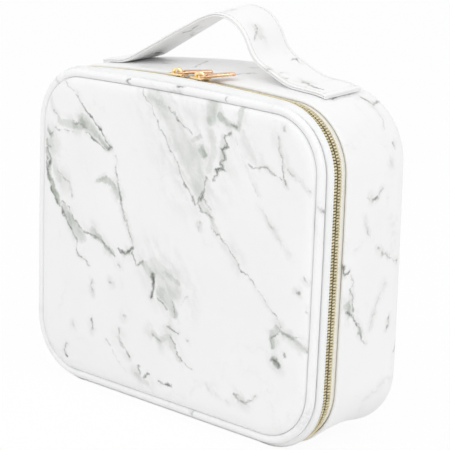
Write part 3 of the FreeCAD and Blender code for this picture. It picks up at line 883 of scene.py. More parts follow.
def cut_away(piece, unwanted):
    """Takes away the faces of a piece whose middle is unwanted."""
    deselect()
    bpy.context.view_layer.objects.active = piece
    bpy.ops.object.mode_set(mode="EDIT")
    pick(piece, "faces", lambda face: unwanted(face.calc_center_median()))
    bpy.ops.mesh.delete(type="FACE")
    bpy.ops.object.mode_set(mode="OBJECT")


def over_hinge(spot):
    return spot.z < corner_radius / 2 and abs(spot.x) < hinge_half


lid_tape = sweep_round("lid_zip_tape", [
    tape_root,
    (tape_root[0] - 1.5 * mm, tape_root[1] + 0.4 * mm),
    (tape_crest[0] + 1.4 * mm, tape_crest[1] - 0.7 * mm),
    (tape_crest[0] + 0.5 * mm, tape_crest[1] - 0.3 * mm),
    tape_crest,
    (tape_crest[0] + 0.3 * mm, tape_crest[1] + 0.2 * mm),
    (tape_inset, tape_crest[1] + 0.4 * mm),
    (tape_inset, zip_y - 2 * mm),
    (tape_inset, zip_y - tape_gap)])
for point in lid_tape.data.vertices:
    if abs(point.co.y - tape_crest[1]) < crest_half:
        _, outwards = on_outline(lid_tape.data.attributes["along"].data[point.index].value)
        point.co += outwards * crest_lift * max(outwards.z, 0) ** 2
body_tape = sweep_round("body_zip_tape", [
    (tape_inset, zip_y + tape_gap),
    (tape_inset, zip_y + 2.5 * mm),
    (tape_inset, edge_y),
    (tape_inset, edge_y + tape_tuck)])
for piece, body, node_name in ((lid_tape, "lid", "zip_tape_lid"), (body_tape, "body", "zip_tape_body")):
    cut_away(piece, over_hinge)
    add_modifier(piece, "SOLIDIFY", thickness=tape_thickness, offset=-1)
    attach(piece, body)
    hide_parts(node_name)
print("tape faces:", faces_of(lid_tape, body_tape))

# %% [markdown]
# ## Zip teeth
# The closed zip shows a herringbone: each tooth leans forward from its tape to the middle, on both sides.
# One tooth is modelled from a cube, leaned and rounded, and then copied along both tapes. There are
# hundreds, so a tooth has few faces. The two rows stay apart in the middle, where the slider's wedge runs.

# %% Zip teeth
tooth_pitch = 2 * mm
tooth_width = 1.45 * mm
tooth_reach = 3.4 * mm
tooth_height = 1.5 * mm
tooth_lean = 0.9 * mm
tooth_soft = 0.45 * mm
tooth_stagger = 0.25
zip_start = hinge_half + 5.6 * mm


def model_tooth():
    """Tooth with its tip over the origin, reaching back along +Y to its tape, X along it and Z outwards."""
    deselect()
    bpy.ops.mesh.primitive_cube_add(size=1, location=(0, 0, 0))
    made = bpy.context.object
    made.scale = (tooth_width, tooth_reach, tooth_height)
    bpy.ops.object.transform_apply(location=False, rotation=False, scale=True)
    bpy.ops.object.mode_set(mode="EDIT")
    pick(made, "faces", lambda face: face.normal.y < -0.5)
    bpy.ops.transform.translate(value=(tooth_lean, 0, 0))
    pick(made, "edges", lambda edge: all(point.co.z > 0 for point in edge.verts))
    bpy.ops.mesh.bevel(offset=tooth_soft, segments=2, affect="EDGES")
    bpy.ops.mesh.select_all(action="SELECT")
    bpy.ops.transform.translate(value=(0, tooth_reach / 2, tooth_height / 2))
    bpy.ops.object.mode_set(mode="OBJECT")
    return made


def copy_along(name, model, places):
    """One piece made of copies of a model. A place is a matrix."""
    row = bmesh.new()
    for place in places:
        first = len(row.verts)
        row.from_mesh(model.data)
        row.verts.ensure_lookup_table()
        bmesh.ops.transform(row, matrix=place, verts=row.verts[first:])
    bmesh.ops.recalc_face_normals(row, faces=row.faces)
    made = bpy.data.objects.new(name, bpy.data.meshes.new(name))
    row.to_mesh(made.data)
    row.free()
    scene.collection.objects.link(made)
    return made


def tooth_row(name, tooth, side):
    """Copies of the tooth on one side of the zip, mirrored to lean the same way from both tapes."""
    run = 2 * (half_length - zip_start)
    count = int(run / tooth_pitch)
    places = []
    for index in range(count):
        distance = zip_start + (index + 0.5 + tooth_stagger * side) * run / count
        spot, outwards = on_outline(distance)
        tip = spot - outwards * tape_inset
        tip.z -= droop_at(tip + Vector((0, zip_y, 0)))
        tip.y += zip_y + side * tape_gap
        ahead = Vector((-outwards.z, 0, outwards.x))
        across = Vector((0, side, 0))
        turn = Matrix((ahead, across, outwards)).transposed().to_4x4()
        places.append(Matrix.Translation(tip) @ turn)
    return copy_along(name, tooth, places)


tooth = model_tooth()
lid_teeth = tooth_row("lid_zip_teeth", tooth, -1)
body_teeth = tooth_row("body_zip_teeth", tooth, 1)
bpy.data.objects.remove(tooth)
for piece, body, node_name in ((lid_teeth, "lid", "zip_teeth_lid"), (body_teeth, "body", "zip_teeth_body")):
    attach(piece, body)
    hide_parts(node_name)
print("teeth faces:", faces_of(lid_teeth, body_teeth))

# %% [markdown]
# ## Handle
# The handle is a strap of two leather layers, sewn together along both edges. Its ends lie on the top wall
# and it stands up in an uneven arch, highest right of the middle, because the leather is stiff and keeps
# the bends it was packed with. A flat section with rounded edges and a stitch groove is pulled along a line
# of runs and round turns. The left leg is then rolled, so that its back edge stands higher than its front.

# %% Handle line
strap_half = 18 * mm
strap_middle_y = (edge_y + back_y) / 2
strap_thickness = 1.2 * mm
strap_lift = 0.3 * mm
strap_end = 98.5 * mm
left_foot = 77 * mm
right_foot = 68 * mm
foot_bend = 34 * mm
turn_steps = 9
sideways = Vector((0, 1, 0))


def on_top(x):
    """Place just over the top wall at this X, and the direction along it."""
    centre, radius = top_centre, top_radius
    if abs(x) > upper_corner.x + corner_radius * math.cos(top_start):
        centre, radius = Vector((math.copysign(upper_corner.x, x), 0, upper_corner.z)), corner_radius
    rise = math.sqrt((radius + strap_lift) ** 2 - (x - centre.x) ** 2)
    return Vector((x, 0, centre.z + rise)), Vector((rise, 0, centre.x - x)).normalized()


def meeting(first, along_first, second, along_second):
    """Where two straight lines in the XZ plane meet."""
    gap = second - first
    share = (gap.x * along_second.z - gap.z * along_second.x) / (
        along_first.x * along_second.z - along_first.z * along_second.x)
    return first + along_first * share


def strap_line():
    """Points of the underside of the handle, from its left end to its right end."""
    left_end, left_along = on_top(-strap_end)
    left_off, left_off_along = on_top(-left_foot)
    right_off, right_off_along = on_top(right_foot)
    right_end, right_along = on_top(strap_end)
    turns = [
        (left_end, 0),
        (meeting(left_end, left_along, left_off, left_off_along), corner_radius),
        (left_off, foot_bend),
        (Vector((-8 * mm, 0, case_height + 32.9 * mm)), 60 * mm),
        (Vector((20.2 * mm, 0, case_height + 42.8 * mm)), 27 * mm),
        (Vector((37.5 * mm, 0, case_height + 11.5 * mm)), 23 * mm),
        (right_off, foot_bend),
        (meeting(right_end, right_along, right_off, right_off_along), corner_radius),
        (right_end, 0),
    ]
    line = [turns[0][0]]
    for (before, _), (corner, radius), (after, _) in zip(turns, turns[1:], turns[2:]):
        inwards = (corner - before).normalized()
        outwards = (after - corner).normalized()
        bend = inwards.angle(outwards)
        cut = radius * math.tan(bend / 2)
        middle = corner + (outwards - inwards).normalized() * radius / math.cos(bend / 2)
        start = corner - inwards * cut - middle
        axis = inwards.cross(outwards).normalized()
        for step in range(turn_steps + 1):
            line.append(middle + Quaternion(axis, bend * step / turn_steps) @ start)
    line.append(turns[-1][0])
    return line


handle_line = strap_line()
print("points along the handle:", len(handle_line))

# %% Strip helper
def directions(line):
    """Direction along a line of points at each of them."""
    spans = [(after - before).normalized() for before, after in zip(line, line[1:])]
    spans = [spans[0], *spans, spans[-1]]
    return [(before + after).normalized() for before, after in zip(spans, spans[1:])]


def sweep_strip(name, line, section, side, shift):
    """Section of (across, up) points pulled along a line, closed at both ends. Side is the way across."""
    deselect()
    bpy.ops.mesh.primitive_circle_add(vertices=len(section), radius=strap_half)
    piece = bpy.context.object
    piece.name = name
    piece.data.name = name
    bpy.ops.object.mode_set(mode="EDIT")
    mesh = bmesh.from_edit_mesh(piece.data)
    place_layer = mesh.verts.layers.int.new("place")
    for index, point in enumerate(mesh.verts):
        point[place_layer] = index
    bpy.ops.mesh.select_all(action="SELECT")
    bpy.ops.mesh.edge_face_add()
    for step, (spot, along) in enumerate(zip(line, directions(line))):
        up = along.cross(side)
        if step:
            bpy.ops.mesh.extrude_region_move()
        mesh = bmesh.from_edit_mesh(piece.data)
        place_layer = mesh.verts.layers.int["place"]
        for point in mesh.verts:
            if point.select:
                across, height = section[point[place_layer]]
                point.co = spot + up * height + side * across + shift
        bmesh.update_edit_mesh(piece.data)
    bpy.ops.mesh.select_all(action="SELECT")
    bpy.ops.mesh.normals_make_consistent(inside=False)
    bpy.ops.object.mode_set(mode="OBJECT")
    bpy.ops.object.shade_smooth_by_angle(angle=math.radians(50))
    return piece


print("strip helper ready")

# %% Handle layers
edge_round = 0.55 * mm
stitch_in = 2.6 * mm
groove_half = 0.9 * mm
groove_depth = 0.15 * mm
layer_gap = 0.1 * mm
twist_rise = 5.5 * mm
twist_middle = -36 * mm
twist_reach = 22 * mm


def strap_section(low, groove):
    """Section of one layer. The face has a slight crown and a groove where the stitches pull it in."""
    high = low + strap_thickness
    seam = strap_half - stitch_in
    half = [(0, 0.25 * mm), (strap_half - 8 * mm, 0.2 * mm), (seam - groove_half, 0.1 * mm),
            (seam, -groove), (seam + groove_half, 0.0), (strap_half - edge_round, 0.0)]
    right = [(across, high + rise) for across, rise in half]
    right += [(strap_half, high - edge_round), (strap_half, low + edge_round), (strap_half - edge_round, low)]
    left = [(-across, height) for across, height in reversed(right[1:])]
    return right + left


def twist_at(spot):
    """How far the left leg of the handle has rolled up, nothing at its front edge and most at its back."""
    across = share_of(spot.y - strap_middle_y + strap_half, 2 * strap_half)
    return twist_rise * across * math.exp(-((spot.x - twist_middle) / twist_reach) ** 2)


def ride_dome(piece):
    """Lifts a piece on the top by the dome under it, lowers it where the top hangs and rolls the handle."""
    for point in piece.data.vertices:
        lift = dome_at(point.co.x, point.co.y) + twist_at(point.co)
        point.co.z += lift - droop_at(point.co)


strap_shift = Vector((0, strap_middle_y, 0))
inner_section = strap_section(0, 0)
outer_section = strap_section(strap_thickness + layer_gap, groove_depth)
inner_strap = sweep_strip("handle_inner_layer", handle_line, inner_section, sideways, strap_shift)
outer_strap = sweep_strip("handle_outer_layer", handle_line, outer_section, sideways, strap_shift)
for piece, node_name in ((inner_strap, "handle_inner_strap"), (outer_strap, "handle_outer_strap")):
    ride_dome(piece)
    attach(piece, "body")
    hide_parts(node_name)
print("handle faces:", faces_of(inner_strap, outer_strap))

# %% [markdown]
# ## Stitches
# Thread shows as rows of short raised dashes. One stitch is a thin six-sided rod with drawn-in ends, and a
# row is that rod copied along a line, so even hundreds stay light. A row follows any list of places with
# the direction of the seam.

# %% Stitch and row helpers
stitch_length = 2.6 * mm
thread_radius = 0.22 * mm


def model_stitch():
    """Stitch along X with its middle at the origin."""
    deselect()
    bpy.ops.mesh.primitive_cylinder_add(vertices=6, radius=thread_radius, depth=stitch_length,
                                        rotation=(0, math.pi / 2, 0))
    made = bpy.context.object
    bpy.ops.object.transform_apply(location=False, rotation=True, scale=False)
    bpy.ops.object.mode_set(mode="EDIT")
    pick(made, "faces", lambda face: abs(face.normal.x) > 0.5)
    bpy.ops.mesh.inset(thickness=thread_radius / 2, depth=thread_radius / 2)
    bpy.ops.object.mode_set(mode="OBJECT")
    return made


def evenly(line, pitch):
    """Places along a line of points at an even pitch, each with its direction."""
    places = []
    left = pitch / 2
    for before, after in zip(line, line[1:]):
        span = (after - before).length
        along = (after - before).normalized()
        while left < span:
            places.append((before + along * left, along))
            left += pitch
        left -= span
    return places


def facing(spot, along, up):
    """Matrix that lays a model's X along a seam and its Z outwards."""
    across = up.cross(along)
    return Matrix.Translation(spot) @ Matrix((along, across, up)).transposed().to_4x4()


def reached(line, reach):
    """Place on a line that lies this far from its start, with the direction there."""
    fine_pitch = 0.5 * mm
    return min(evenly(line, fine_pitch), key=lambda found: abs((found[0] - line[0]).length - reach))


stitch = model_stitch()
print("faces of a stitch:", faces_of(stitch))

# %% Handle stitches
stitch_pitch = 3.5 * mm
strap_top = 2 * strap_thickness + layer_gap
groove_floor = strap_top - 0.1 * mm
face_top = strap_top + 0.05 * mm
end_rows = (3 * mm, 19 * mm)
seam_half = strap_half - stitch_in

places = []
for side in (-1, 1):
    seam = [spot + sideways * (strap_middle_y + side * seam_half) for spot in handle_line]
    for spot, along in evenly(seam, stitch_pitch):
        up = along.cross(sideways)
        places.append(facing(spot + up * groove_floor, along, up))
for end_line in (handle_line, handle_line[::-1]):
    for reach in end_rows:
        spot, along = reached(end_line, reach)
        up = along.cross(sideways)
        up = up if up.z > 0 else -up
        start = spot + up * face_top + sideways * (strap_middle_y - seam_half)
        for place, _ in evenly([start, start + sideways * 2 * seam_half], stitch_pitch):
            places.append(facing(place, sideways, up))
handle_stitches = copy_along("handle_stitches", stitch, places)
bpy.data.objects.remove(stitch)
ride_dome(handle_stitches)
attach(handle_stitches, "body")
print("handle stitches:", len(places))

# %% [markdown]
# ## Hinge strip
# Along the bottom a leather strip joins lid and body in place of the zip. It is one strip that bends, so
# it follows the body at one edge and the lid at the other, and turns in between, on the hinge axis.

# %% Hinge strip
strip_thickness = 1.2 * mm
strip_profile = [
    (tape_root[1], tape_root[0]),
    (tape_root[1] + 0.5 * mm, 2.8 * mm),
    (tape_crest[1] - 0.3 * mm, 0.6 * mm),
    (tape_crest[1] + 0.7 * mm, 0.05 * mm),
    (zip_y - 1.5 * mm, 0.05 * mm),
    (zip_y - 0.7 * mm, 0.1 * mm),
    (zip_y, 0.25 * mm),
    (zip_y + 0.7 * mm, 0.1 * mm),
    (zip_y + 1.5 * mm, 0.05 * mm),
    (edge_y - 1.2 * mm, 0.05 * mm),
    (edge_y - 0.4 * mm, 0.5 * mm),
    (edge_y - 0.1 * mm, tape_inset),
    (edge_y + tape_tuck, tape_inset),
]
strip_cuts = 24
bend_half = 2.5 * mm
deselect()
bpy.ops.mesh.primitive_plane_add(size=1)
hinge_strip = bpy.context.object
hinge_strip.name = "hinge_strip"
bpy.ops.object.mode_set(mode="EDIT")
bpy.ops.mesh.select_all(action="SELECT")
bpy.ops.mesh.delete(type="ONLY_FACE")
mesh = bmesh.from_edit_mesh(hinge_strip.data)
for edge in list(mesh.edges):
    if not all(point.co.y < 0 for point in edge.verts):
        mesh.edges.remove(edge)
for point in list(mesh.verts):
    if point.co.y > 0:
        mesh.verts.remove(point)
    else:
        point.co = (math.copysign(hinge_half, point.co.x), strip_profile[0][0], strip_profile[0][1])
bmesh.update_edit_mesh(hinge_strip.data)
bpy.ops.mesh.select_all(action="SELECT")
bpy.ops.mesh.subdivide(number_cuts=strip_cuts)
for before, after in zip(strip_profile, strip_profile[1:]):
    bpy.ops.mesh.extrude_region_move(
        TRANSFORM_OT_translate={"value": (0, after[0] - before[0], after[1] - before[1])})
bpy.ops.mesh.select_all(action="SELECT")
bpy.ops.mesh.normals_make_consistent(inside=False)
bpy.ops.object.mode_set(mode="OBJECT")
mesh = hinge_strip.data
if sum(face.normal.z for face in mesh.polygons) > 0:
    mesh.flip_normals()
bpy.ops.object.shade_smooth()
add_modifier(hinge_strip, "SOLIDIFY", thickness=strip_thickness, offset=-1)
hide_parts("hinge_strip_lid", "hinge_strip_body")
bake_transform(hinge_strip, "body", "lid", start=(0, zip_y + bend_half, 0), end=(0, zip_y - bend_half, 0))
print("hinge strip faces:", faces_of(hinge_strip))

# %% [markdown]
# ## Sliders and pulls
# Two zip sliders are parked on top of the case. Each is a cast plate over the teeth with a sole under the
# tape, a bridge on the plate and a flat pull whose pin turns in the bridge. They are small castings, so
# blocks with rounded corners and softened edges, joined piece by piece, give the right highlights. Neither
# pull lies quite flat, so each is raised by a few degrees.

# %% Casting helpers
def block(low, high, corner=0.0, soft=0.2 * mm, taper=1.0):
    """Block between two corners, upright edges rounded, all edges softened, its +X end drawn in."""
    deselect()
    bpy.ops.mesh.primitive_cube_add(size=1, location=(Vector(low) + Vector(high)) / 2)
    made = bpy.context.object
    made.scale = Vector(high) - Vector(low)
    bpy.ops.object.transform_apply(location=True, rotation=False, scale=True)
    bpy.ops.object.mode_set(mode="EDIT")
    middle_x = (low[0] + high[0]) / 2
    middle_y = (low[1] + high[1]) / 2
    mesh = bmesh.from_edit_mesh(made.data)
    for point in mesh.verts:
        if point.co.x > middle_x:
            point.co.y = middle_y + (point.co.y - middle_y) * taper
    bmesh.update_edit_mesh(made.data)
    if corner:
        pick(made, "edges", lambda edge: abs(run_of(edge).z) > 0.9)
        bpy.ops.mesh.bevel(offset=corner, segments=4, affect="EDGES")
    bpy.ops.object.mode_set(mode="OBJECT")
    add_modifier(made, "BEVEL", width=soft, segments=2, limit_method="ANGLE")
    return made


def join(name, *parts):
    """Makes one piece of several."""
    deselect()
    for part in parts:
        part.select_set(True)
    bpy.context.view_layer.objects.active = parts[0]
    bpy.ops.object.join()
    made = bpy.context.object
    made.name = name
    made.data.name = name
    bpy.ops.object.shade_smooth_by_angle(angle=math.radians(35))
    return made


def press_in(piece, thickness, depth):
    """Sinks a panel into the top face, as a stamped pull or plate has."""
    deselect()
    bpy.context.view_layer.objects.active = piece
    bpy.ops.object.mode_set(mode="EDIT")
    faces = bmesh.from_edit_mesh(piece.data).faces
    top = max((face for face in faces if face.normal.z > 0.9), key=lambda face: face.calc_area())
    pick(piece, "faces", lambda face: face == top)
    bpy.ops.mesh.inset(thickness=thickness)
    bpy.ops.mesh.inset(thickness=depth, depth=-depth)
    bpy.ops.object.mode_set(mode="OBJECT")


def turned(piece, place):
    """Moves a finished piece by a matrix and keeps its object at the origin."""
    piece.data.transform(place)
    return piece


print("casting helpers ready")

# %% Slider
plate_under = -0.9 * mm
plate_over = 0.3 * mm
lip_thick = 1 * mm
lip_drop = 1.5 * mm
sole_half = 6 * mm
sole_wide = 3.5 * mm
sole_thick = 0.7 * mm
wedge_start = 2.5 * mm
wedge_half = 0.35 * mm


def make_slider(side, nose):
    """Plate, sole, wedge and lip of one slider. Nose is the way it closes the zip."""
    low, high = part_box("slider_" + side)
    plate_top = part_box("slider_crown_" + side)[0].z
    middle = Vector(((low.x + high.x) / 2, zip_y, plate_top))
    half = (high.x - low.x) / 2
    wide = high.y - zip_y
    under = low.z - plate_top
    plate = block((1.5 * mm - half, 0.7 * mm - wide, plate_under), (half, wide, plate_over),
                  corner=2.6 * mm, soft=0.4 * mm, taper=0.7)
    press_in(plate, 1.1 * mm, 0.3 * mm)
    lip = block((3 * mm - half, wide - lip_thick, plate_under - lip_drop),
                (half - 4.5 * mm, wide, plate_under))
    sole = block((-sole_half, -sole_wide, under), (sole_half, sole_wide, under + sole_thick),
                 corner=1.5 * mm)
    wedge = block((wedge_start, -wedge_half, under + 0.3 * mm), (sole_half, wedge_half, -0.6 * mm))
    made = join(side + "_slider", plate, lip, sole, wedge)
    mirror = Matrix.Diagonal((nose, 1, 1, 1))
    turned(made, Matrix.Translation(middle) @ mirror)
    if nose < 0:
        made.data.flip_normals()
    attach(made, "slider_" + side)
    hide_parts("slider_" + side)
    return made


print("slider's sole in mm:", round(2 * sole_half / mm, 1), "long")

# %% Bridge
bridge_bar = 1.0 * mm
bridge_foot = 0.2 * mm
bridge_steps = 12
bridge_shoulder = 0.45


def make_bridge(side):
    """Arched bar that holds the pull, longer, wider and higher than its solid by a little."""
    low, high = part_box("slider_crown_" + side)
    middle_x = (low.x + high.x) / 2
    reach = (high.x - low.x) / 2 + 0.8 * mm - bridge_bar
    rise = high.z - low.z + 0.5 * mm - bridge_bar
    line = [Vector((middle_x - reach, 0, low.z - bridge_foot))]
    for step in range(bridge_steps + 1):
        angle = math.pi * (1 - step / bridge_steps)
        arch = bridge_shoulder + (1 - bridge_shoulder) * math.sin(angle)
        line.append(Vector((middle_x + reach * math.cos(angle), 0, low.z + rise * arch)))
    line.append(Vector((middle_x + reach, 0, low.z - bridge_foot)))
    half_y = (high.y - low.y) / 2 + 0.4 * mm
    upper = [(half_y, bridge_bar * 0.5), (half_y * 0.6, bridge_bar)]
    upper += [(-across, height) for across, height in reversed(upper)]
    section = upper + [(across, -height) for across, height in reversed(upper)]
    made = sweep_strip(side + "_slider_bridge", line, section, sideways, Vector((0, zip_y, 0)))
    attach(made, "slider_" + side)
    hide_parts("slider_crown_" + side)
    return made


print("bridge bar in mm:", round(2 * bridge_bar / mm, 1), "thick")

# %% Pull
pull_length = 22 * mm
pull_half = 4 * mm
pull_arm = 1.2 * mm
pull_eye = 4.2 * mm
pull_thick = 0.6 * mm
tab_thick = 0.95 * mm
pull_rise = {"left": math.radians(1.5), "right": math.radians(4.5)}


def make_pull(side):
    """Two arms, a pin between them and a stamped tab, laid along its joint's direction."""
    joint = next(found for found in frame["joints"] if found["name"] == "pull_" + side + "_hinge")
    tab = block((pull_eye, -pull_half, -tab_thick), (pull_length, pull_half, tab_thick),
                corner=2.4 * mm, soft=0.5 * mm, taper=0.7)
    press_in(tab, 1.2 * mm, 0.2 * mm)
    arms = []
    for reach in (-1, 1):
        arm_y = reach * (pull_half - pull_arm / 2)
        arms.append(block((-0.2 * mm, arm_y - pull_arm / 2, -pull_thick),
                          (pull_eye + 1.4 * mm, arm_y + pull_arm / 2, pull_thick), soft=0.25 * mm))
    deselect()
    bpy.ops.mesh.primitive_cylinder_add(vertices=16, radius=pull_thick, depth=2 * pull_half,
                                        rotation=(math.pi / 2, 0, 0))
    pin = bpy.context.object
    bpy.ops.object.transform_apply(location=False, rotation=True, scale=False)
    add_modifier(pin, "BEVEL", width=0.15 * mm, segments=2, limit_method="ANGLE")
    made = join(side + "_zip_pull", tab, *arms, pin)
    across = -Vector(joint["axis"]).normalized()
    ahead = across.cross(Vector((0, 0, 1)))
    turn = Matrix((ahead, across, Vector((0, 0, 1)))).transposed().to_4x4()
    raised = Matrix.Rotation(-pull_rise[side], 4, "Y")
    turned(made, Matrix.Translation(Vector(joint["pos_m"])) @ turn @ raised)
    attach(made, "pull_" + side)
    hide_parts("zip_pull_" + side)
    return made


print("pull in mm:", round(pull_length / mm, 1), "long")

# %% Both sliders with their bridges and pulls
sliders, bridges, pulls = [], [], []
for side, nose in (("left", 1), ("right", -1)):
    sliders.append(make_slider(side, nose))
    bridges.append(make_bridge(side))
    pulls.append(make_pull(side))
print("slider, bridge and pull faces:", faces_of(*sliders, *bridges, *pulls))

# %% [markdown]
# ## Inside of the body
# The body is a foam tray with a cloth lining and a binding over its front edge. The foam is hidden, but
# it is there, so it gets its own piece. Lining, binding and the patches behind the handle's ends are the
# outline again, further in.

# %% Foam
layer_room = 0.1 * mm
foam_end = foam_start + foam_depth
lining_inset = foam_end + layer_room
rim_y = edge_y + 1 * mm
foam_gap = 0.2 * mm
foam_edge = 0.6 * mm
tape_room = 0.9 * mm


def back_corner(inset, start, end):
    """Stations round the back corner for a layer at this inset."""
    radius = back_roll - inset
    return arc_stations(back_roll, back_y - back_roll, -radius, radius, start, end, 6)


foam_stations = [(foam_start + tape_room, rim_y), (foam_start + tape_room, edge_y + tape_tuck + 0.2 * mm),
                 (foam_start, edge_y + tape_tuck + 0.6 * mm)]
foam_stations += back_corner(foam_start, 0, 90)
foam_stations += [(back_seam - foam_gap, back_y - foam_start), (back_seam - foam_gap, back_y - lining_inset)]
foam_stations += back_corner(foam_end, 90, 0)
foam_stations += [(foam_end, rim_y + 1.2 * mm), (lining_inset - 1.2 * mm, rim_y)]
wall_foam = sweep_round("wall_foam_sheet", foam_stations, end="joined")
back_foam_inset = back_seam + foam_gap
back_foam_stations = [(back_foam_inset + foam_edge, back_y - foam_end),
                      (back_foam_inset, back_y - foam_end + foam_edge),
                      (back_foam_inset, back_y - foam_start - foam_edge),
                      (back_foam_inset + foam_edge, back_y - foam_start)]
back_foam_stations += [(*back_foam_stations[-1], share) for share in (0.3, 0.7, 0.95)]
back_foam = sweep_round("back_foam_sheet", back_foam_stations, end="pole")
fill_start(back_foam)
for piece, node_name in ((wall_foam, "wall_foam"), (back_foam, "back_board")):
    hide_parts(node_name)
print("foam faces:", faces_of(wall_foam, back_foam))

# %% Lining and binding
lining_thickness = 0.8 * mm
inside_inset = lining_inset + lining_thickness

lining_stations = [(lining_inset, rim_y + layer_room), (lining_inset, 0)]
lining_stations += back_corner(lining_inset, 0, 90)
lining_stations += [(back_roll, back_y - lining_inset, share) for share in (0.1, 0.3, 0.5, 0.7, 0.9)]
body_lining = sweep_round("body_lining_cloth", lining_stations, end="pole")
add_modifier(body_lining, "SOLIDIFY", thickness=lining_thickness, offset=-1)
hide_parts("body_lining")

binding_thickness = 0.8 * mm
rim_stations = [(tape_inset + 1.6 * mm, rim_y - 0.1 * mm), (tape_inset + 1.9 * mm, rim_y - 0.7 * mm),
                (inside_inset, rim_y - 0.9 * mm), (inside_inset + 0.7 * mm, rim_y - 0.5 * mm),
                (inside_inset + 0.9 * mm, rim_y + 0.4 * mm), (inside_inset + 0.9 * mm, rim_y + 9.9 * mm)]
rim_binding = sweep_round("rim_binding_tape", rim_stations)
add_modifier(rim_binding, "SOLIDIFY", thickness=binding_thickness, offset=-1)
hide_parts("rim_binding")
print("lining and binding faces:", faces_of(body_lining, rim_binding))

# %% Handle patches
patch_start = 75 * mm
patch_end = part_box("handle_patches")[1].x
patch_inset = inside_inset + layer_room
patch_thickness = 1 * mm


def beside_patches(spot):
    return spot.z < case_height / 2 or not patch_start < abs(spot.x) < patch_end


patches = sweep_round("handle_patch_cloth", [
    (patch_inset, strap_middle_y - strap_half),
    (patch_inset, strap_middle_y),
    (patch_inset, strap_middle_y + strap_half)])
cut_away(patches, beside_patches)
add_modifier(patches, "SOLIDIFY", thickness=patch_thickness, offset=1)
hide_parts("handle_patches")
for piece in (wall_foam, back_foam, body_lining, rim_binding, patches):
    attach(piece, "body")
print("patch faces:", faces_of(patches))

# %% [markdown]
# ## Dividers
# Padded boards stand across the inside: one across the width, four upright ones that stick to the lining
# with hook tape and slide sideways. A divider starts as a block, gets round back corners and soft edges,
# and grows a little thinner towards its edges, as foam under tight cloth does.

# %% Dividers and hook tape
edge_slack = 0.18
divider_corner = 6 * mm
divider_soft = 1.6 * mm
hook_thickness = 0.8 * mm


def make_divider(name, node_name, lengthwise):
    """Padded board in the box of its solid. Lengthwise is the axis it spans, 0 for X or 2 for Z."""
    low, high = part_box(node_name)
    deselect()
    bpy.ops.mesh.primitive_cube_add(size=1, location=(low + high) / 2)
    made = bpy.context.object
    made.name = name
    made.data.name = name
    made.scale = high - low
    bpy.ops.object.transform_apply(location=True, rotation=False, scale=True)
    thin = 2 - lengthwise
    middle = (low + high) / 2
    reach = (high - low) / 2
    bpy.ops.object.mode_set(mode="EDIT")
    pick(made, "edges", lambda edge: abs(run_of(edge)[thin]) > 0.9 and edge.verts[0].co.y > middle.y)
    bpy.ops.mesh.bevel(offset=divider_corner, segments=5, affect="EDGES")
    bpy.ops.object.mode_set(mode="OBJECT")
    add_modifier(made, "BEVEL", width=divider_soft, segments=3, limit_method="ANGLE")
    add_modifier(made, "SUBSURF", subdivision_type="SIMPLE", levels=3, render_levels=3)
    for point in made.data.vertices:
        away = point.co - middle
        full = (1 - (away.y / reach.y) ** 4) * (1 - (away[lengthwise] / reach[lengthwise]) ** 4)
        point.co[thin] = middle[thin] + away[thin] * (1 - edge_slack * (1 - full))
    bpy.ops.object.shade_smooth_by_angle(angle=math.radians(40))
    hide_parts(node_name)
    return made


def make_hooks(name, node_name, lengthwise):
    """Strip of hook tape at each end of a divider."""
    low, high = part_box(node_name)
    strips = []
    for end in (0, 1):
        corner_low, corner_high = low.copy(), high.copy()
        if end:
            corner_low[lengthwise] = high[lengthwise] - hook_thickness
        else:
            corner_high[lengthwise] = low[lengthwise] + hook_thickness
        strips.append(block(corner_low, corner_high))
    made = join(name, *strips)
    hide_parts(node_name)
    return made


divider_pieces, hook_pieces = [], []
divider_names = [("long_divider", 0, "body")]
divider_names += [(level + "_divider_" + side, 2, level + "_divider_" + side)
                  for level in ("lower", "upper") for side in ("left", "right")]
for node_name, lengthwise, body in divider_names:
    padded_board = make_divider(node_name + "_pad", node_name, lengthwise)
    hook_strips = make_hooks(node_name + "_hook_tape", node_name + "_hooks", lengthwise)
    for piece in (padded_board, hook_strips):
        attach(piece, body)
    divider_pieces.append(padded_board)
    hook_pieces.append(hook_strips)
print("divider faces:", faces_of(*divider_pieces, *hook_pieces))

# %% [markdown]
# ## Inside of the lid
# The lid is lined too. A band of elastic is sewn down in loops for brushes, and a flat pocket lies under
# it. The elastic is a strip pulled along a line of arcs, sewn flat between the loops.

# %% Lid lining and binding
lid_inner = 5.2 * mm
lid_flat = lid_inner + 12 * mm
lid_lining_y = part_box("lid_lining")[0].y
lid_inside_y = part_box("lid_lining")[1].y
lid_stations = [(lid_inner, lid_lining_y), (lid_flat, lid_lining_y)]
lid_stations += [(lid_flat, lid_lining_y, share) for share in (0.2, 0.4, 0.6, 0.8, 0.95)]
lid_lining = sweep_round("lid_lining_cloth", lid_stations, end="pole")
if lid_lining.data.polygons[0].normal.y < 0:
    lid_lining.data.flip_normals()
add_modifier(lid_lining, "SOLIDIFY", thickness=lining_thickness, offset=1)
lid_binding = sweep_round("lid_binding_tape", [
    (lid_inner, lid_inside_y + 0.1 * mm), (lid_inner + 0.5 * mm, lid_inside_y + 0.7 * mm),
    (lid_inner + 3.5 * mm, lid_inside_y + 0.9 * mm), (lid_inner + 6.5 * mm, lid_inside_y + 0.7 * mm),
    (lid_inner + 7 * mm, lid_inside_y + 0.1 * mm)], end="joined")
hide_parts("lid_lining")
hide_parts("lid_binding")
print("lid lining and binding faces:", faces_of(lid_lining, lid_binding))

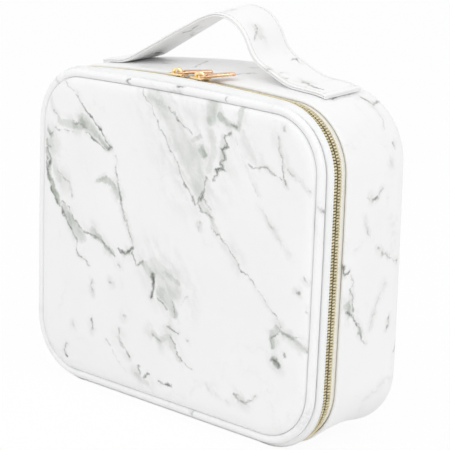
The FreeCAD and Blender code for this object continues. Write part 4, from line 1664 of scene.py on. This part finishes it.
# %% Brush elastic
elastic_low, elastic_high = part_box("brush_elastic")
elastic_loops = 7
elastic_pitch = 28 * mm
elastic_flat = 4 * mm
elastic_bulge = 6.4 * mm
elastic_steps = 12
elastic_half = (elastic_high.z - elastic_low.z) / 2
elastic_y = elastic_low.y + 0.6 * mm
elastic_line = [Vector((elastic_low.x, elastic_y, 0))]
for loop in range(elastic_loops):
    start_x = (loop - elastic_loops / 2) * elastic_pitch + elastic_flat / 2
    chord = elastic_pitch - elastic_flat
    for step in range(elastic_steps + 1):
        share = step / elastic_steps
        rise = elastic_bulge * (1 - (2 * share - 1) ** 2) ** 0.8
        elastic_line.append(Vector((start_x + chord * share, elastic_y + rise, 0)))
elastic_line.append(Vector((elastic_high.x, elastic_y, 0)))
band_half = 0.55 * mm
band_round = 0.6 * mm
band_face = [(elastic_half, band_half * 0.4), (elastic_half - band_round, band_half), (0, band_half),
             (band_round - elastic_half, band_half), (-elastic_half, band_half * 0.4)]
elastic_section = band_face + [(across, -height) for across, height in reversed(band_face)]
upright = Vector((0, 0, 1))
elastic = sweep_strip("brush_elastic_band", elastic_line, elastic_section, upright,
                      upright * (elastic_low.z + elastic_high.z) / 2)
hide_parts("brush_elastic")
print("elastic loops:", elastic_loops)

# %% Slip pocket
pocket_low, pocket_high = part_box("lid_pocket")
pocket_width = pocket_high.x - pocket_low.x
pocket_height = pocket_high.z - pocket_low.z
pocket_thickness = 0.7 * mm
pocket_swell = 1.6 * mm
swell_height = 0.75
deselect()
bpy.ops.mesh.primitive_grid_add(x_subdivisions=28, y_subdivisions=14, size=1,
                                location=(0, pocket_low.y, (pocket_low.z + pocket_high.z) / 2),
                                rotation=(-math.pi / 2, 0, 0))
pocket = bpy.context.object
pocket.name = "lid_pocket_cloth"
pocket.scale = (pocket_width, pocket_height, 1)
bpy.ops.object.transform_apply(location=True, rotation=True, scale=True)
for point in pocket.data.vertices:
    across = 1 - (2 * point.co.x / pocket_width) ** 2
    up = min((point.co.z - pocket_low.z) / pocket_height, swell_height) / swell_height
    point.co.y += pocket_swell * across ** 0.7 * math.sin(math.pi / 2 * up)
mouth_low, mouth_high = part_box("lid_pocket_binding")
mouth_lift = pocket_thickness + 0.4 * mm
at_mouth = [point.co for point in pocket.data.vertices if point.co.z > pocket_high.z - 0.001 * mm]
mouth_line = [Vector((spot.x, spot.y + mouth_lift, 0)) for spot in sorted(at_mouth, key=lambda spot: spot.x)]
bpy.ops.object.shade_smooth()
add_modifier(pocket, "SOLIDIFY", thickness=pocket_thickness, offset=1)
mouth_half = (mouth_high.z - mouth_low.z) / 2
mouth_section = [(mouth_half, 0.3 * mm), (0, 0.4 * mm), (-mouth_half, 0.3 * mm), (-mouth_half, -0.3 * mm),
                 (0, -0.3 * mm), (mouth_half, -0.3 * mm)]
pocket_binding = sweep_strip("lid_pocket_mouth", mouth_line, mouth_section, upright,
                             upright * (mouth_high.z - mouth_half + 0.6 * mm))
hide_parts("lid_pocket")
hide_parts("lid_pocket_binding")
for piece in (lid_lining, lid_binding, elastic, pocket, pocket_binding):
    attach(piece, "lid")
print("pocket faces:", faces_of(pocket, pocket_binding))

# %% [markdown]
# ## Artwork of the marble
# The veins were read off the photo, corner by corner, so they are written in its pixels, across and
# down. Each point is sent through the camera onto the piece that shows it, and from there on the vein
# belongs to the piece. The numbers before the points are the vein's width from middle to edge at its start
# and at its end, in millimetres, and its strength. A cloud is wide and pale, a line is thin and dark.

# %% From the photo to the piece
photo_size = 450


def seen_at(piece, pixel):
    """Place on a piece that the camera sees at a pixel of the photo, or None."""
    film = camera.data.sensor_width / camera.data.lens
    across = ((pixel[0] - photo_size / 2) / photo_size + camera.data.shift_x) * film
    up = ((photo_size / 2 - pixel[1]) / photo_size + camera.data.shift_y) * film
    ray = camera.rotation_quaternion @ Vector((across, up, -1))
    hit, spot, _, _ = piece.ray_cast(camera.location, ray.normalized())
    return spot if hit else None


def laid_on(piece, drawn):
    """Drawn veins as veins on a piece. Points that miss the piece are left out."""
    laid = []
    for first_width, last_width, strength, pixels in drawn:
        spots = [spot for spot in (seen_at(piece, pixel) for pixel in pixels) if spot]
        if len(spots) > 1:
            laid.append((first_width * mm, last_width * mm, strength, spots))
    return laid


bpy.context.view_layer.update()
print("photo is", photo_size, "pixels wide and high")

# %% Clouds of the front
front_clouds = [
    (6.2, 1.4, 0.80, [(84, 120), (95, 132), (107, 147)]),
    (3.4, 4.0, 0.60, [(60, 122), (72, 124), (82, 124)]),
    (1.8, 3.8, 0.80, [(97, 181), (106, 178), (113, 182), (119, 194)]),
    (2.0, 2.4, 0.70, [(48, 129), (52, 136)]),
    (2.2, 2.6, 0.70, [(48, 140), (49, 150)]),
    (3.0, 3.0, 0.95, [(48, 150), (50, 162), (50, 176)]),
    (5.5, 5.0, 0.36, [(51, 142), (54, 160), (60, 180)]),
    (2.6, 3.0, 0.90, [(50, 176), (54, 190), (59, 202)]),
    (3.2, 5.4, 0.80, [(63, 207), (72, 222), (82, 237)]),
    (4.0, 2.4, 0.65, [(93, 231), (98, 237), (106, 246), (114, 253)]),
    (3.0, 2.2, 0.55, [(124, 254), (132, 249)]),
    (3.6, 5.0, 0.70, [(144, 263), (151, 274)]),
    (8.5, 9.5, 0.42, [(154, 264), (168, 276), (174, 292)]),
    (3.2, 2.6, 0.70, [(164, 271), (178, 284)]),
    (5.0, 4.2, 0.55, [(160, 291), (169, 303), (174, 314)]),
    (3.6, 3.6, 0.40, [(153, 333), (160, 341), (170, 336)]),
    (3.2, 2.6, 0.36, [(169, 341), (179, 360)]),
    (3.0, 2.0, 0.40, [(119, 338), (129, 356)]),
    (8.5, 7.5, 0.42, [(154, 94), (168, 115)]),
    (7.5, 11.5, 0.36, [(168, 115), (182, 140)]),
    (11.5, 14.5, 0.38, [(182, 140), (194, 160)]),
    (14.5, 10.0, 0.40, [(194, 160), (197, 180)]),
    (10.0, 4.0, 0.44, [(197, 180), (200, 201)]),
    (3.8, 3.2, 0.85, [(201, 149), (205, 156)]),
    (2.6, 2.6, 0.60, [(193, 141), (201, 136)]),
    (2.4, 2.0, 0.60, [(150, 96), (160, 103), (168, 110)]),
    (4.5, 4.0, 0.36, [(211, 133), (214, 150), (210, 170)]),
    (3.4, 3.4, 0.55, [(223, 138), (222, 152), (221, 168)]),
    (5.8, 4.8, 0.62, [(213, 103), (211, 120)]),
    (3.2, 3.6, 0.62, [(219, 117), (230, 125), (238, 128)]),
    (2.8, 2.8, 0.60, [(243, 108), (241, 120), (237, 128)]),
    (2.6, 2.6, 0.28, [(244, 132), (252, 152), (256, 166)]),
    (2.2, 2.0, 0.36, [(278, 138), (283, 158), (284, 178)]),
    (3.4, 2.4, 0.45, [(201, 206), (212, 218), (218, 232)]),
    (2.0, 2.0, 0.25, [(224, 240), (240, 265)]),
    (3.0, 3.0, 0.40, [(137, 375), (147, 384)]),
    (3.6, 3.0, 0.60, [(276, 329), (272, 337), (273, 347)]),
    (2.4, 3.0, 0.55, [(284, 334), (294, 340), (304, 351)]),
    (3.4, 3.0, 0.70, [(274, 360), (278, 367)]),
    (3.0, 2.6, 0.40, [(236, 396), (246, 404)]),
]
print("clouds on the front:", len(front_clouds))

# %% Lines of the front
front_lines = [
    (0.4, 0.5, 0.45, [(66, 81), (75, 92)]),
    (0.9, 0.6, 0.80, [(77, 95), (81, 102), (89, 113)]),
    (0.6, 0.7, 0.85, [(89, 113), (101, 130), (110, 147)]),
    (0.5, 0.6, 0.70, [(85, 130), (91, 135), (99, 143), (106, 149)]),
    (0.8, 0.7, 0.70, [(75, 121), (81, 123), (87, 127)]),
    (0.7, 0.6, 0.65, [(56, 129), (64, 131), (74, 130)]),
    (0.5, 0.5, 0.35, [(50, 101), (53, 109), (60, 118)]),
    (0.9, 0.9, 0.90, [(107, 148), (111, 147)]),
    (0.7, 0.7, 0.70, [(48, 131), (51, 135), (53, 133)]),
    (0.7, 0.6, 0.60, [(47, 144), (52, 148)]),
    (0.9, 0.9, 0.85, [(48, 149), (52, 159), (50, 167), (49, 174)]),
    (0.8, 0.8, 0.80, [(47, 157), (48, 168), (51, 180)]),
    (0.8, 0.8, 0.80, [(52, 188), (56, 198), (63, 211)]),
    (0.4, 0.5, 0.45, [(58, 171), (69, 184), (72, 197)]),
    (0.5, 0.5, 0.50, [(116, 154), (118, 162), (116, 169)]),
    (0.6, 0.8, 0.75, [(116, 169), (119, 180), (121, 196), (123, 211)]),
    (0.8, 0.6, 0.65, [(123, 211), (128, 228), (132, 244)]),
    (0.9, 0.8, 0.85, [(63, 211), (69, 224), (78, 241)]),
    (0.6, 0.6, 0.65, [(62, 202), (69, 208), (74, 221), (83, 230), (90, 234)]),
    (0.6, 0.6, 0.65, [(77, 242), (77, 251), (90, 267)]),
    (0.7, 0.6, 0.65, [(90, 234), (101, 240), (116, 256)]),
    (0.9, 0.9, 0.90, [(118, 248), (125, 253), (133, 246)]),
    (0.7, 0.7, 0.75, [(132, 252), (136, 264), (143, 261)]),
    (1.6, 1.2, 1.00, [(151, 273), (153, 283), (152, 297)]),
    (0.8, 0.7, 0.70, [(158, 298), (167, 309)]),
    (0.8, 0.7, 0.70, [(172, 303), (174, 316)]),
    (0.6, 0.5, 0.40, [(187, 296), (181, 304)]),
    (1.0, 0.8, 0.85, [(167, 325), (178, 334)]),
    (0.9, 0.8, 0.80, [(92, 330), (90, 319)]),
    (0.7, 0.7, 0.55, [(92, 280), (90, 286), (92, 294)]),
    (0.9, 0.9, 0.60, [(119, 264), (120, 265)]),
    (0.9, 0.9, 0.55, [(110, 282), (111, 283)]),
    (0.9, 0.9, 0.55, [(124, 317), (125, 318)]),
    (0.9, 0.9, 0.55, [(73, 324), (74, 325)]),
    (0.5, 0.5, 0.60, [(143, 89), (150, 103), (159, 125)]),
    (0.5, 0.6, 0.65, [(159, 125), (170, 147), (179, 164), (181, 176)]),
    (0.6, 0.6, 0.65, [(181, 176), (186, 187), (195, 204)]),
    (0.5, 0.6, 0.60, [(168, 108), (184, 125), (193, 134)]),
    (0.9, 0.8, 0.90, [(230, 134), (224, 138), (227, 147), (221, 149)]),
    (0.8, 0.9, 0.90, [(221, 149), (224, 159), (219, 164), (224, 171)]),
    (0.9, 0.8, 0.90, [(224, 171), (216, 170), (217, 176), (214, 180)]),
    (0.9, 0.7, 0.80, [(207, 178), (205, 185), (200, 200)]),
    (1.0, 0.9, 0.80, [(230, 125), (237, 127)]),
    (0.7, 0.6, 0.65, [(249, 164), (252, 168), (267, 169), (281, 181)]),
    (0.6, 0.6, 0.60, [(278, 136), (279, 152), (283, 159), (282, 172), (286, 186)]),
    (0.9, 0.9, 0.60, [(284, 128), (285, 129)]),
    (0.4, 0.4, 0.25, [(235, 139), (258, 198)]),
    (0.4, 0.4, 0.30, [(289, 172), (309, 192)]),
    (0.7, 0.6, 0.70, [(202, 190), (197, 202), (202, 211), (212, 217)]),
    (0.5, 0.5, 0.55, [(203, 199), (212, 211)]),
    (0.6, 0.6, 0.55, [(200, 224), (200, 230)]),
    (0.5, 0.6, 0.65, [(212, 227), (221, 238), (235, 259)]),
    (0.7, 0.5, 0.70, [(235, 259), (239, 267), (253, 283)]),
    (0.5, 0.7, 0.60, [(253, 283), (268, 304), (277, 316), (281, 327)]),
    (0.6, 0.6, 0.60, [(276, 325), (281, 331), (271, 339), (273, 350)]),
    (0.6, 0.5, 0.55, [(281, 332), (290, 338), (301, 338)]),
    (0.7, 0.5, 0.60, [(281, 331), (295, 341), (306, 352)]),
    (1.7, 1.5, 0.90, [(273, 360), (277, 364), (279, 368)]),
    (0.8, 0.8, 0.60, [(283, 355), (284, 356)]),
    (1.0, 1.0, 0.80, [(298, 293), (299, 294)]),
    (0.8, 0.8, 0.55, [(305, 280), (306, 281)]),
    (0.8, 0.8, 0.55, [(306, 312), (307, 313)]),
    (0.4, 0.4, 0.25, [(259, 207), (285, 247), (295, 262)]),
    (0.7, 0.6, 0.75, [(66, 344), (64, 349), (67, 357)]),
    (0.6, 0.6, 0.60, [(108, 341), (112, 346)]),
    (0.5, 0.9, 0.65, [(120, 330), (120, 341), (130, 357)]),
    (0.5, 0.5, 0.40, [(113, 351), (121, 364), (127, 374)]),
    (0.7, 0.7, 0.80, [(139, 366), (140, 374)]),
    (0.8, 0.7, 0.80, [(144, 378), (148, 373)]),
    (0.8, 0.7, 0.80, [(159, 381), (166, 384), (171, 387)]),
    (0.8, 0.8, 0.55, [(186, 340), (187, 341)]),
    (0.7, 0.6, 0.60, [(153, 335), (160, 341)]),
    (0.7, 0.7, 0.70, [(170, 337), (181, 360), (191, 370)]),
    (0.7, 1.0, 0.75, [(235, 394), (239, 402), (246, 404)]),
    (0.7, 0.5, 0.60, [(247, 403), (255, 397)]),
    (0.4, 0.4, 0.25, [(208, 387), (222, 399), (227, 402)]),
]
print("lines on the front:", len(front_lines))

# %% Veins of the walls
wall_clouds = [
    (4.2, 4.4, 0.75, [(347, 306), (349, 313)]),
    (2.2, 1.6, 0.70, [(359, 331), (362, 337)]),
    (3.0, 3.0, 0.80, [(144, 58), (158, 58), (167, 60)]),
    (2.2, 1.4, 0.55, [(167, 60), (177, 61)]),
    (1.6, 1.6, 0.45, [(368, 197), (370, 199)]),
    (2.0, 1.4, 0.55, [(360, 98), (366, 101), (372, 104)]),
]
wall_lines = [
    (0.9, 0.8, 0.90, [(343, 268), (344, 276), (349, 271)]),
    (0.5, 0.6, 0.60, [(350, 274), (354, 280), (350, 291)]),
    (0.7, 0.6, 0.70, [(350, 291), (352, 298), (353, 312)]),
    (0.8, 0.6, 0.75, [(346, 313), (353, 317), (357, 325)]),
    (0.7, 0.5, 0.55, [(357, 325), (362, 338), (365, 344)]),
    (1.0, 0.9, 0.85, [(373, 200), (377, 197)]),
    (0.6, 0.5, 0.50, [(377, 197), (379, 194), (382, 188)]),
    (0.4, 0.5, 0.35, [(364, 216), (370, 240)]),
    (0.6, 0.6, 0.50, [(378, 250), (383, 254), (391, 259), (396, 262)]),
    (0.6, 0.6, 0.60, [(389, 316), (387, 328)]),
    (0.9, 0.7, 0.75, [(395, 345), (393, 352)]),
    (0.4, 0.4, 0.25, [(384, 283), (376, 306), (370, 328)]),
    (0.6, 0.8, 0.70, [(360, 98), (366, 101), (372, 105), (378, 101), (383, 101)]),
    (0.9, 0.8, 0.80, [(331, 99), (335, 97), (331, 95)]),
    (0.5, 0.4, 0.40, [(336, 97), (342, 96), (352, 93)]),
    (0.5, 0.5, 0.40, [(372, 107), (381, 117), (384, 130)]),
    (1.0, 0.8, 0.85, [(393, 143), (394, 147)]),
    (0.8, 0.8, 0.45, [(391, 161), (392, 163)]),
    (0.5, 0.5, 0.50, [(141, 67), (151, 67)]),
    (0.6, 0.6, 0.60, [(160, 62), (170, 64)]),
    (0.7, 0.5, 0.75, [(194, 67), (198, 64), (207, 61)]),
    (0.8, 0.6, 0.80, [(233, 75), (241, 74), (256, 73)]),
    (0.6, 0.6, 0.55, [(251, 68), (254, 68)]),
]
print("veins on the walls:", len(wall_clouds + wall_lines))

# %% Veins of the handle and the piping
handle_lines = [
    (0.7, 0.5, 0.65, [(257, 27), (258, 32), (255, 39)]),
    (0.6, 0.4, 0.50, [(260, 31), (265, 38)]),
    (0.8, 0.6, 0.65, [(290, 60), (294, 58), (299, 63)]),
    (0.7, 0.6, 0.60, [(268, 69), (271, 70)]),
    (0.6, 0.5, 0.50, [(281, 73), (286, 73)]),
    (0.6, 0.5, 0.55, [(287, 79), (290, 79)]),
    (0.8, 0.6, 0.75, [(304, 83), (310, 84), (315, 87), (323, 90)]),
    (0.5, 0.5, 0.40, [(225, 12), (235, 9)]),
]
handle_clouds = [
    (2.6, 2.0, 0.45, [(305, 82), (313, 86)]),
    (2.4, 2.4, 0.35, [(256, 30), (262, 38)]),
]
underside_lines = [
    (0.9, 0.7, 0.85, [(185, 32), (191, 31), (197, 26)]),
    (1.4, 1.2, 0.85, [(157, 52), (164, 53)]),
]
piping_lines = [
    (0.7, 0.6, 0.80, [(130, 79), (128, 81), (130, 84)]),
    (0.6, 0.5, 0.75, [(178, 86), (184, 87)]),
    (0.6, 0.5, 0.50, [(227, 97), (226, 100)]),
    (0.8, 0.6, 0.65, [(318, 208), (324, 213)]),
    (0.7, 0.6, 0.55, [(193, 411), (192, 415)]),
]
piping_clouds = [
    (1.8, 1.6, 0.45, [(171, 92), (180, 93)]),
]
print("veins on the handle:", len(handle_clouds + handle_lines + underside_lines))

# %% Leather pieces
front_leather = marble_leather("marble_leather_front", laid_on(pad, front_clouds), laid_on(pad, front_lines),
                               flatten=(1, 0, 1), drift=0.05)
wall_leather = marble_leather("marble_leather_walls", laid_on(walls, wall_clouds), laid_on(walls, wall_lines))
handle_leather = marble_leather("marble_leather_handle", laid_on(outer_strap, handle_clouds),
                                laid_on(outer_strap, handle_lines) + laid_on(inner_strap, underside_lines))
trim_leather = marble_leather("marble_leather_trim", laid_on(piping, piping_clouds),
                              laid_on(piping, piping_lines))
paint(pad, front_leather)
for piece in (walls, back):
    paint(piece, wall_leather)
for piece in (inner_strap, outer_strap):
    paint(piece, handle_leather)
for piece in (piping, sleeve, hinge_strip):
    paint(piece, trim_leather)
print("nodes in the front's leather:", len(front_leather.node_tree.nodes))

# %% [markdown]
# ## Cloth, foam and metal
# The other finishes are small variations of four ideas. Cloth is two crossed waves of thread, with painted
# shade that darkens the gaps between threads. Foam and board are cells or fibres from a noise. Metal is a
# base colour with a cast unevenness in its gloss. Tapes read their distance along and across from the ring
# helper, so that their weave turns the corners with them, and they get painted shade where the teeth sit on
# them.

# %% Cloth
def weave_group():
    """Crossed threads: a height and how deep in a gap the point lies; the gap darkens cloth as painted shade.
    """
    tree, given, out = new_group(
        "plain weave",
        [("Point", "Vector"), ("Pitch", "Float")],
        [("Height", "Float"), ("Gap", "Float")])
    turns = vector(tree, "SCALE", given.outputs["Point"],
                   scale=number(tree, "DIVIDE", 2 * math.pi, given.outputs["Pitch"]))
    waves = vector(tree, "SINE", turns)
    height = vector(tree, "DOT_PRODUCT", waves, (0.5, 0.5, 0.5))
    feed(tree, out.inputs["Height"], height)
    feed(tree, out.inputs["Gap"], spread(tree, height, 0.1, -0.8))
    return tree


plain_weave = weave_group()


def woven(name, colour, gap_shade_colour, pitch, roughness, follow=False, stretch=(1, 1, 1), depth=0.15 * mm):
    """Cloth. Follow makes the weave run along a swept piece. Stretch packs the threads along each axis. The
    gap colour is painted shade in the gaps between threads.
    """
    material, tree, shader = new_material(name)
    place = node(tree, "ShaderNodeTexCoord").outputs["Object"]
    point = place
    if follow:
        along = node(tree, "ShaderNodeAttribute", attribute_name="along").outputs["Fac"]
        across = node(tree, "ShaderNodeAttribute", attribute_name="across").outputs["Fac"]
        point = node(tree, "ShaderNodeCombineXYZ", {"X": along, "Y": across}).outputs["Vector"]
    weave = use_group(tree, plain_weave, Point=vector(tree, "MULTIPLY", point, stretch), Pitch=pitch)
    uneven = noise_at(tree, place, 45.0, 4.0, 0.6).outputs["Fac"]
    # the colour mixes a random tone of the threads with painted shade in the gaps between them
    shade = number(tree, "MULTIPLY_ADD", uneven, 0.35, number(tree, "MULTIPLY", weave.outputs["Gap"], 0.65))
    feed(tree, shader.inputs["Base Color"], mix_colour(tree, shade, colour, gap_shade_colour))
    feed(tree, shader.inputs["Roughness"], spread(tree, uneven, 0.2, 0.8, roughness - 0.06, roughness + 0.06))
    roughen(tree, shader, 0.6, depth, weave.outputs["Height"])
    return material


print("group made:", plain_weave.name)

# %% Foam, metal and zip tape
def celled(name, colour, dark, scale, roughness):
    """Foam, board or hook tape: cells at this scale, darker along their borders."""
    material, tree, shader = new_material(name)
    place = node(tree, "ShaderNodeTexCoord").outputs["Object"]
    cells = node(tree, "ShaderNodeTexVoronoi", {"Vector": place, "Scale": scale}).outputs["Distance"]
    uneven = noise_at(tree, place, scale / 12, 3.0).outputs["Fac"]
    shade = number(tree, "MULTIPLY", cells, uneven)
    feed(tree, shader.inputs["Base Color"], mix_colour(tree, shade, colour, dark))
    feed(tree, shader.inputs["Roughness"], spread(tree, uneven, 0.2, 0.8, roughness - 0.05, roughness + 0.05))
    roughen(tree, shader, 0.5, 0.2 * mm, cells)
    return material


def cast_metal(name, colour, deep_colour, roughness, metallic=1.0):
    """Plated casting with uneven gloss and a deeper tone in patches."""
    material, tree, shader = new_material(name)
    place = node(tree, "ShaderNodeTexCoord").outputs["Object"]
    tone = noise_at(tree, place, 420.0, 3.0, 0.6).outputs["Fac"]
    deepness = spread(tree, tone, 0.35, 0.75)
    feed(tree, shader.inputs["Base Color"], mix_colour(tree, deepness, colour, deep_colour))
    feed(tree, shader.inputs["Roughness"], spread(tree, tone, 0.3, 0.7, roughness - 0.06, roughness + 0.08))
    shader.inputs["Metallic"].default_value = metallic
    roughen(tree, shader, 0.15, 0.05 * mm, tone)
    return material


def tape_finish(name, clean, teeth_shade, teeth_shade_start, teeth_shade_end):
    """Zip tape: a fine weave with painted shade under the teeth, which sets in between two places across it.
    """
    material = woven(name, clean, srgb(236, 238, 240), 0.5 * mm, 0.55, follow=True, depth=0.05 * mm)
    tree = material.node_tree
    shader = tree.nodes["Principled BSDF"]
    thread_colour = shader.inputs["Base Color"].links[0].from_socket
    across = node(tree, "ShaderNodeAttribute", attribute_name="across").outputs["Fac"]
    # painted shade: the tape is darker under the teeth, from one place across it to the other
    under_teeth_shade = spread(tree, across, teeth_shade_start, teeth_shade_end)
    feed(tree, shader.inputs["Base Color"], mix_colour(tree, under_teeth_shade, thread_colour, teeth_shade))
    return material


print("foam, metal and tape finishes ready")

# %% Colours of the finishes
tape_white = srgb(251, 251, 250)
tape_cream = srgb(246, 241, 226)
# colour of the painted shade on the tapes under the teeth
teeth_shade_colour = srgb(140, 130, 100)
lid_tape_finish = tape_finish("white_tape_lid", tape_white, teeth_shade_colour, 5.6 * mm, 6.2 * mm)
body_tape_finish = tape_finish("white_tape_body", tape_cream, teeth_shade_colour, 4.2 * mm, 3.6 * mm)
lining_cloth = woven("lining_cloth", srgb(74, 74, 77), srgb(40, 40, 42), 0.7 * mm, 0.75)
binding_cloth = woven("binding_cloth", srgb(66, 66, 69), srgb(34, 34, 36), 0.9 * mm, 0.7, follow=True)
elastic_cloth = woven("elastic_webbing", srgb(48, 48, 50), srgb(20, 20, 22), 1.4 * mm, 0.65,
                      stretch=(0.5, 1, 1))
cord_fibre = woven("cord_fibre", srgb(232, 228, 218), srgb(190, 184, 170), 1.1 * mm, 0.85, follow=True)
thread = woven("sewing_thread", srgb(244, 243, 240), srgb(212, 210, 206), 0.35 * mm, 0.6)
foam = celled("foam_cells", srgb(226, 224, 216), srgb(176, 172, 160), 1300.0, 0.95)
board = celled("board_fibre", srgb(170, 146, 112), srgb(120, 98, 70), 500.0, 0.9)
hook_tape = celled("hook_tape", srgb(36, 36, 38), srgb(12, 12, 12), 900.0, 0.8)
tooth_gold = cast_metal("zip_tooth_gold", srgb(226, 217, 186), srgb(190, 178, 140), 0.36, 0.7)
slider_gold = cast_metal("slider_gold", srgb(254, 234, 192), srgb(244, 212, 154), 0.2)
pull_copper = cast_metal("pull_copper", srgb(240, 204, 170), srgb(218, 170, 130), 0.3)
print("materials:", len(bpy.data.materials))

# %% Painting the other pieces
paint(lid_tape, lid_tape_finish)
paint(body_tape, body_tape_finish)
for piece in (lid_teeth, body_teeth):
    paint(piece, tooth_gold)
for piece in sliders + bridges:
    paint(piece, slider_gold)
for piece in pulls:
    paint(piece, pull_copper)
for node_name in ("zip_stops_lid", "zip_stops_body"):
    paint(frame["nodes"][node_name], tooth_gold)
paint(frame["nodes"]["lid_board"], board)
for piece in (wall_foam, back_foam):
    paint(piece, foam)
for piece in (body_lining, lid_lining, pocket, *divider_pieces):
    paint(piece, lining_cloth)
for piece in (rim_binding, patches, lid_binding):
    paint(piece, binding_cloth)
for piece in hook_pieces:
    paint(piece, hook_tape)
paint(pocket_binding, lining_cloth)
paint(elastic, elastic_cloth)
paint(piping_cord, cord_fibre)
paint(handle_stitches, thread)
print("painted dividers:", len(divider_pieces))
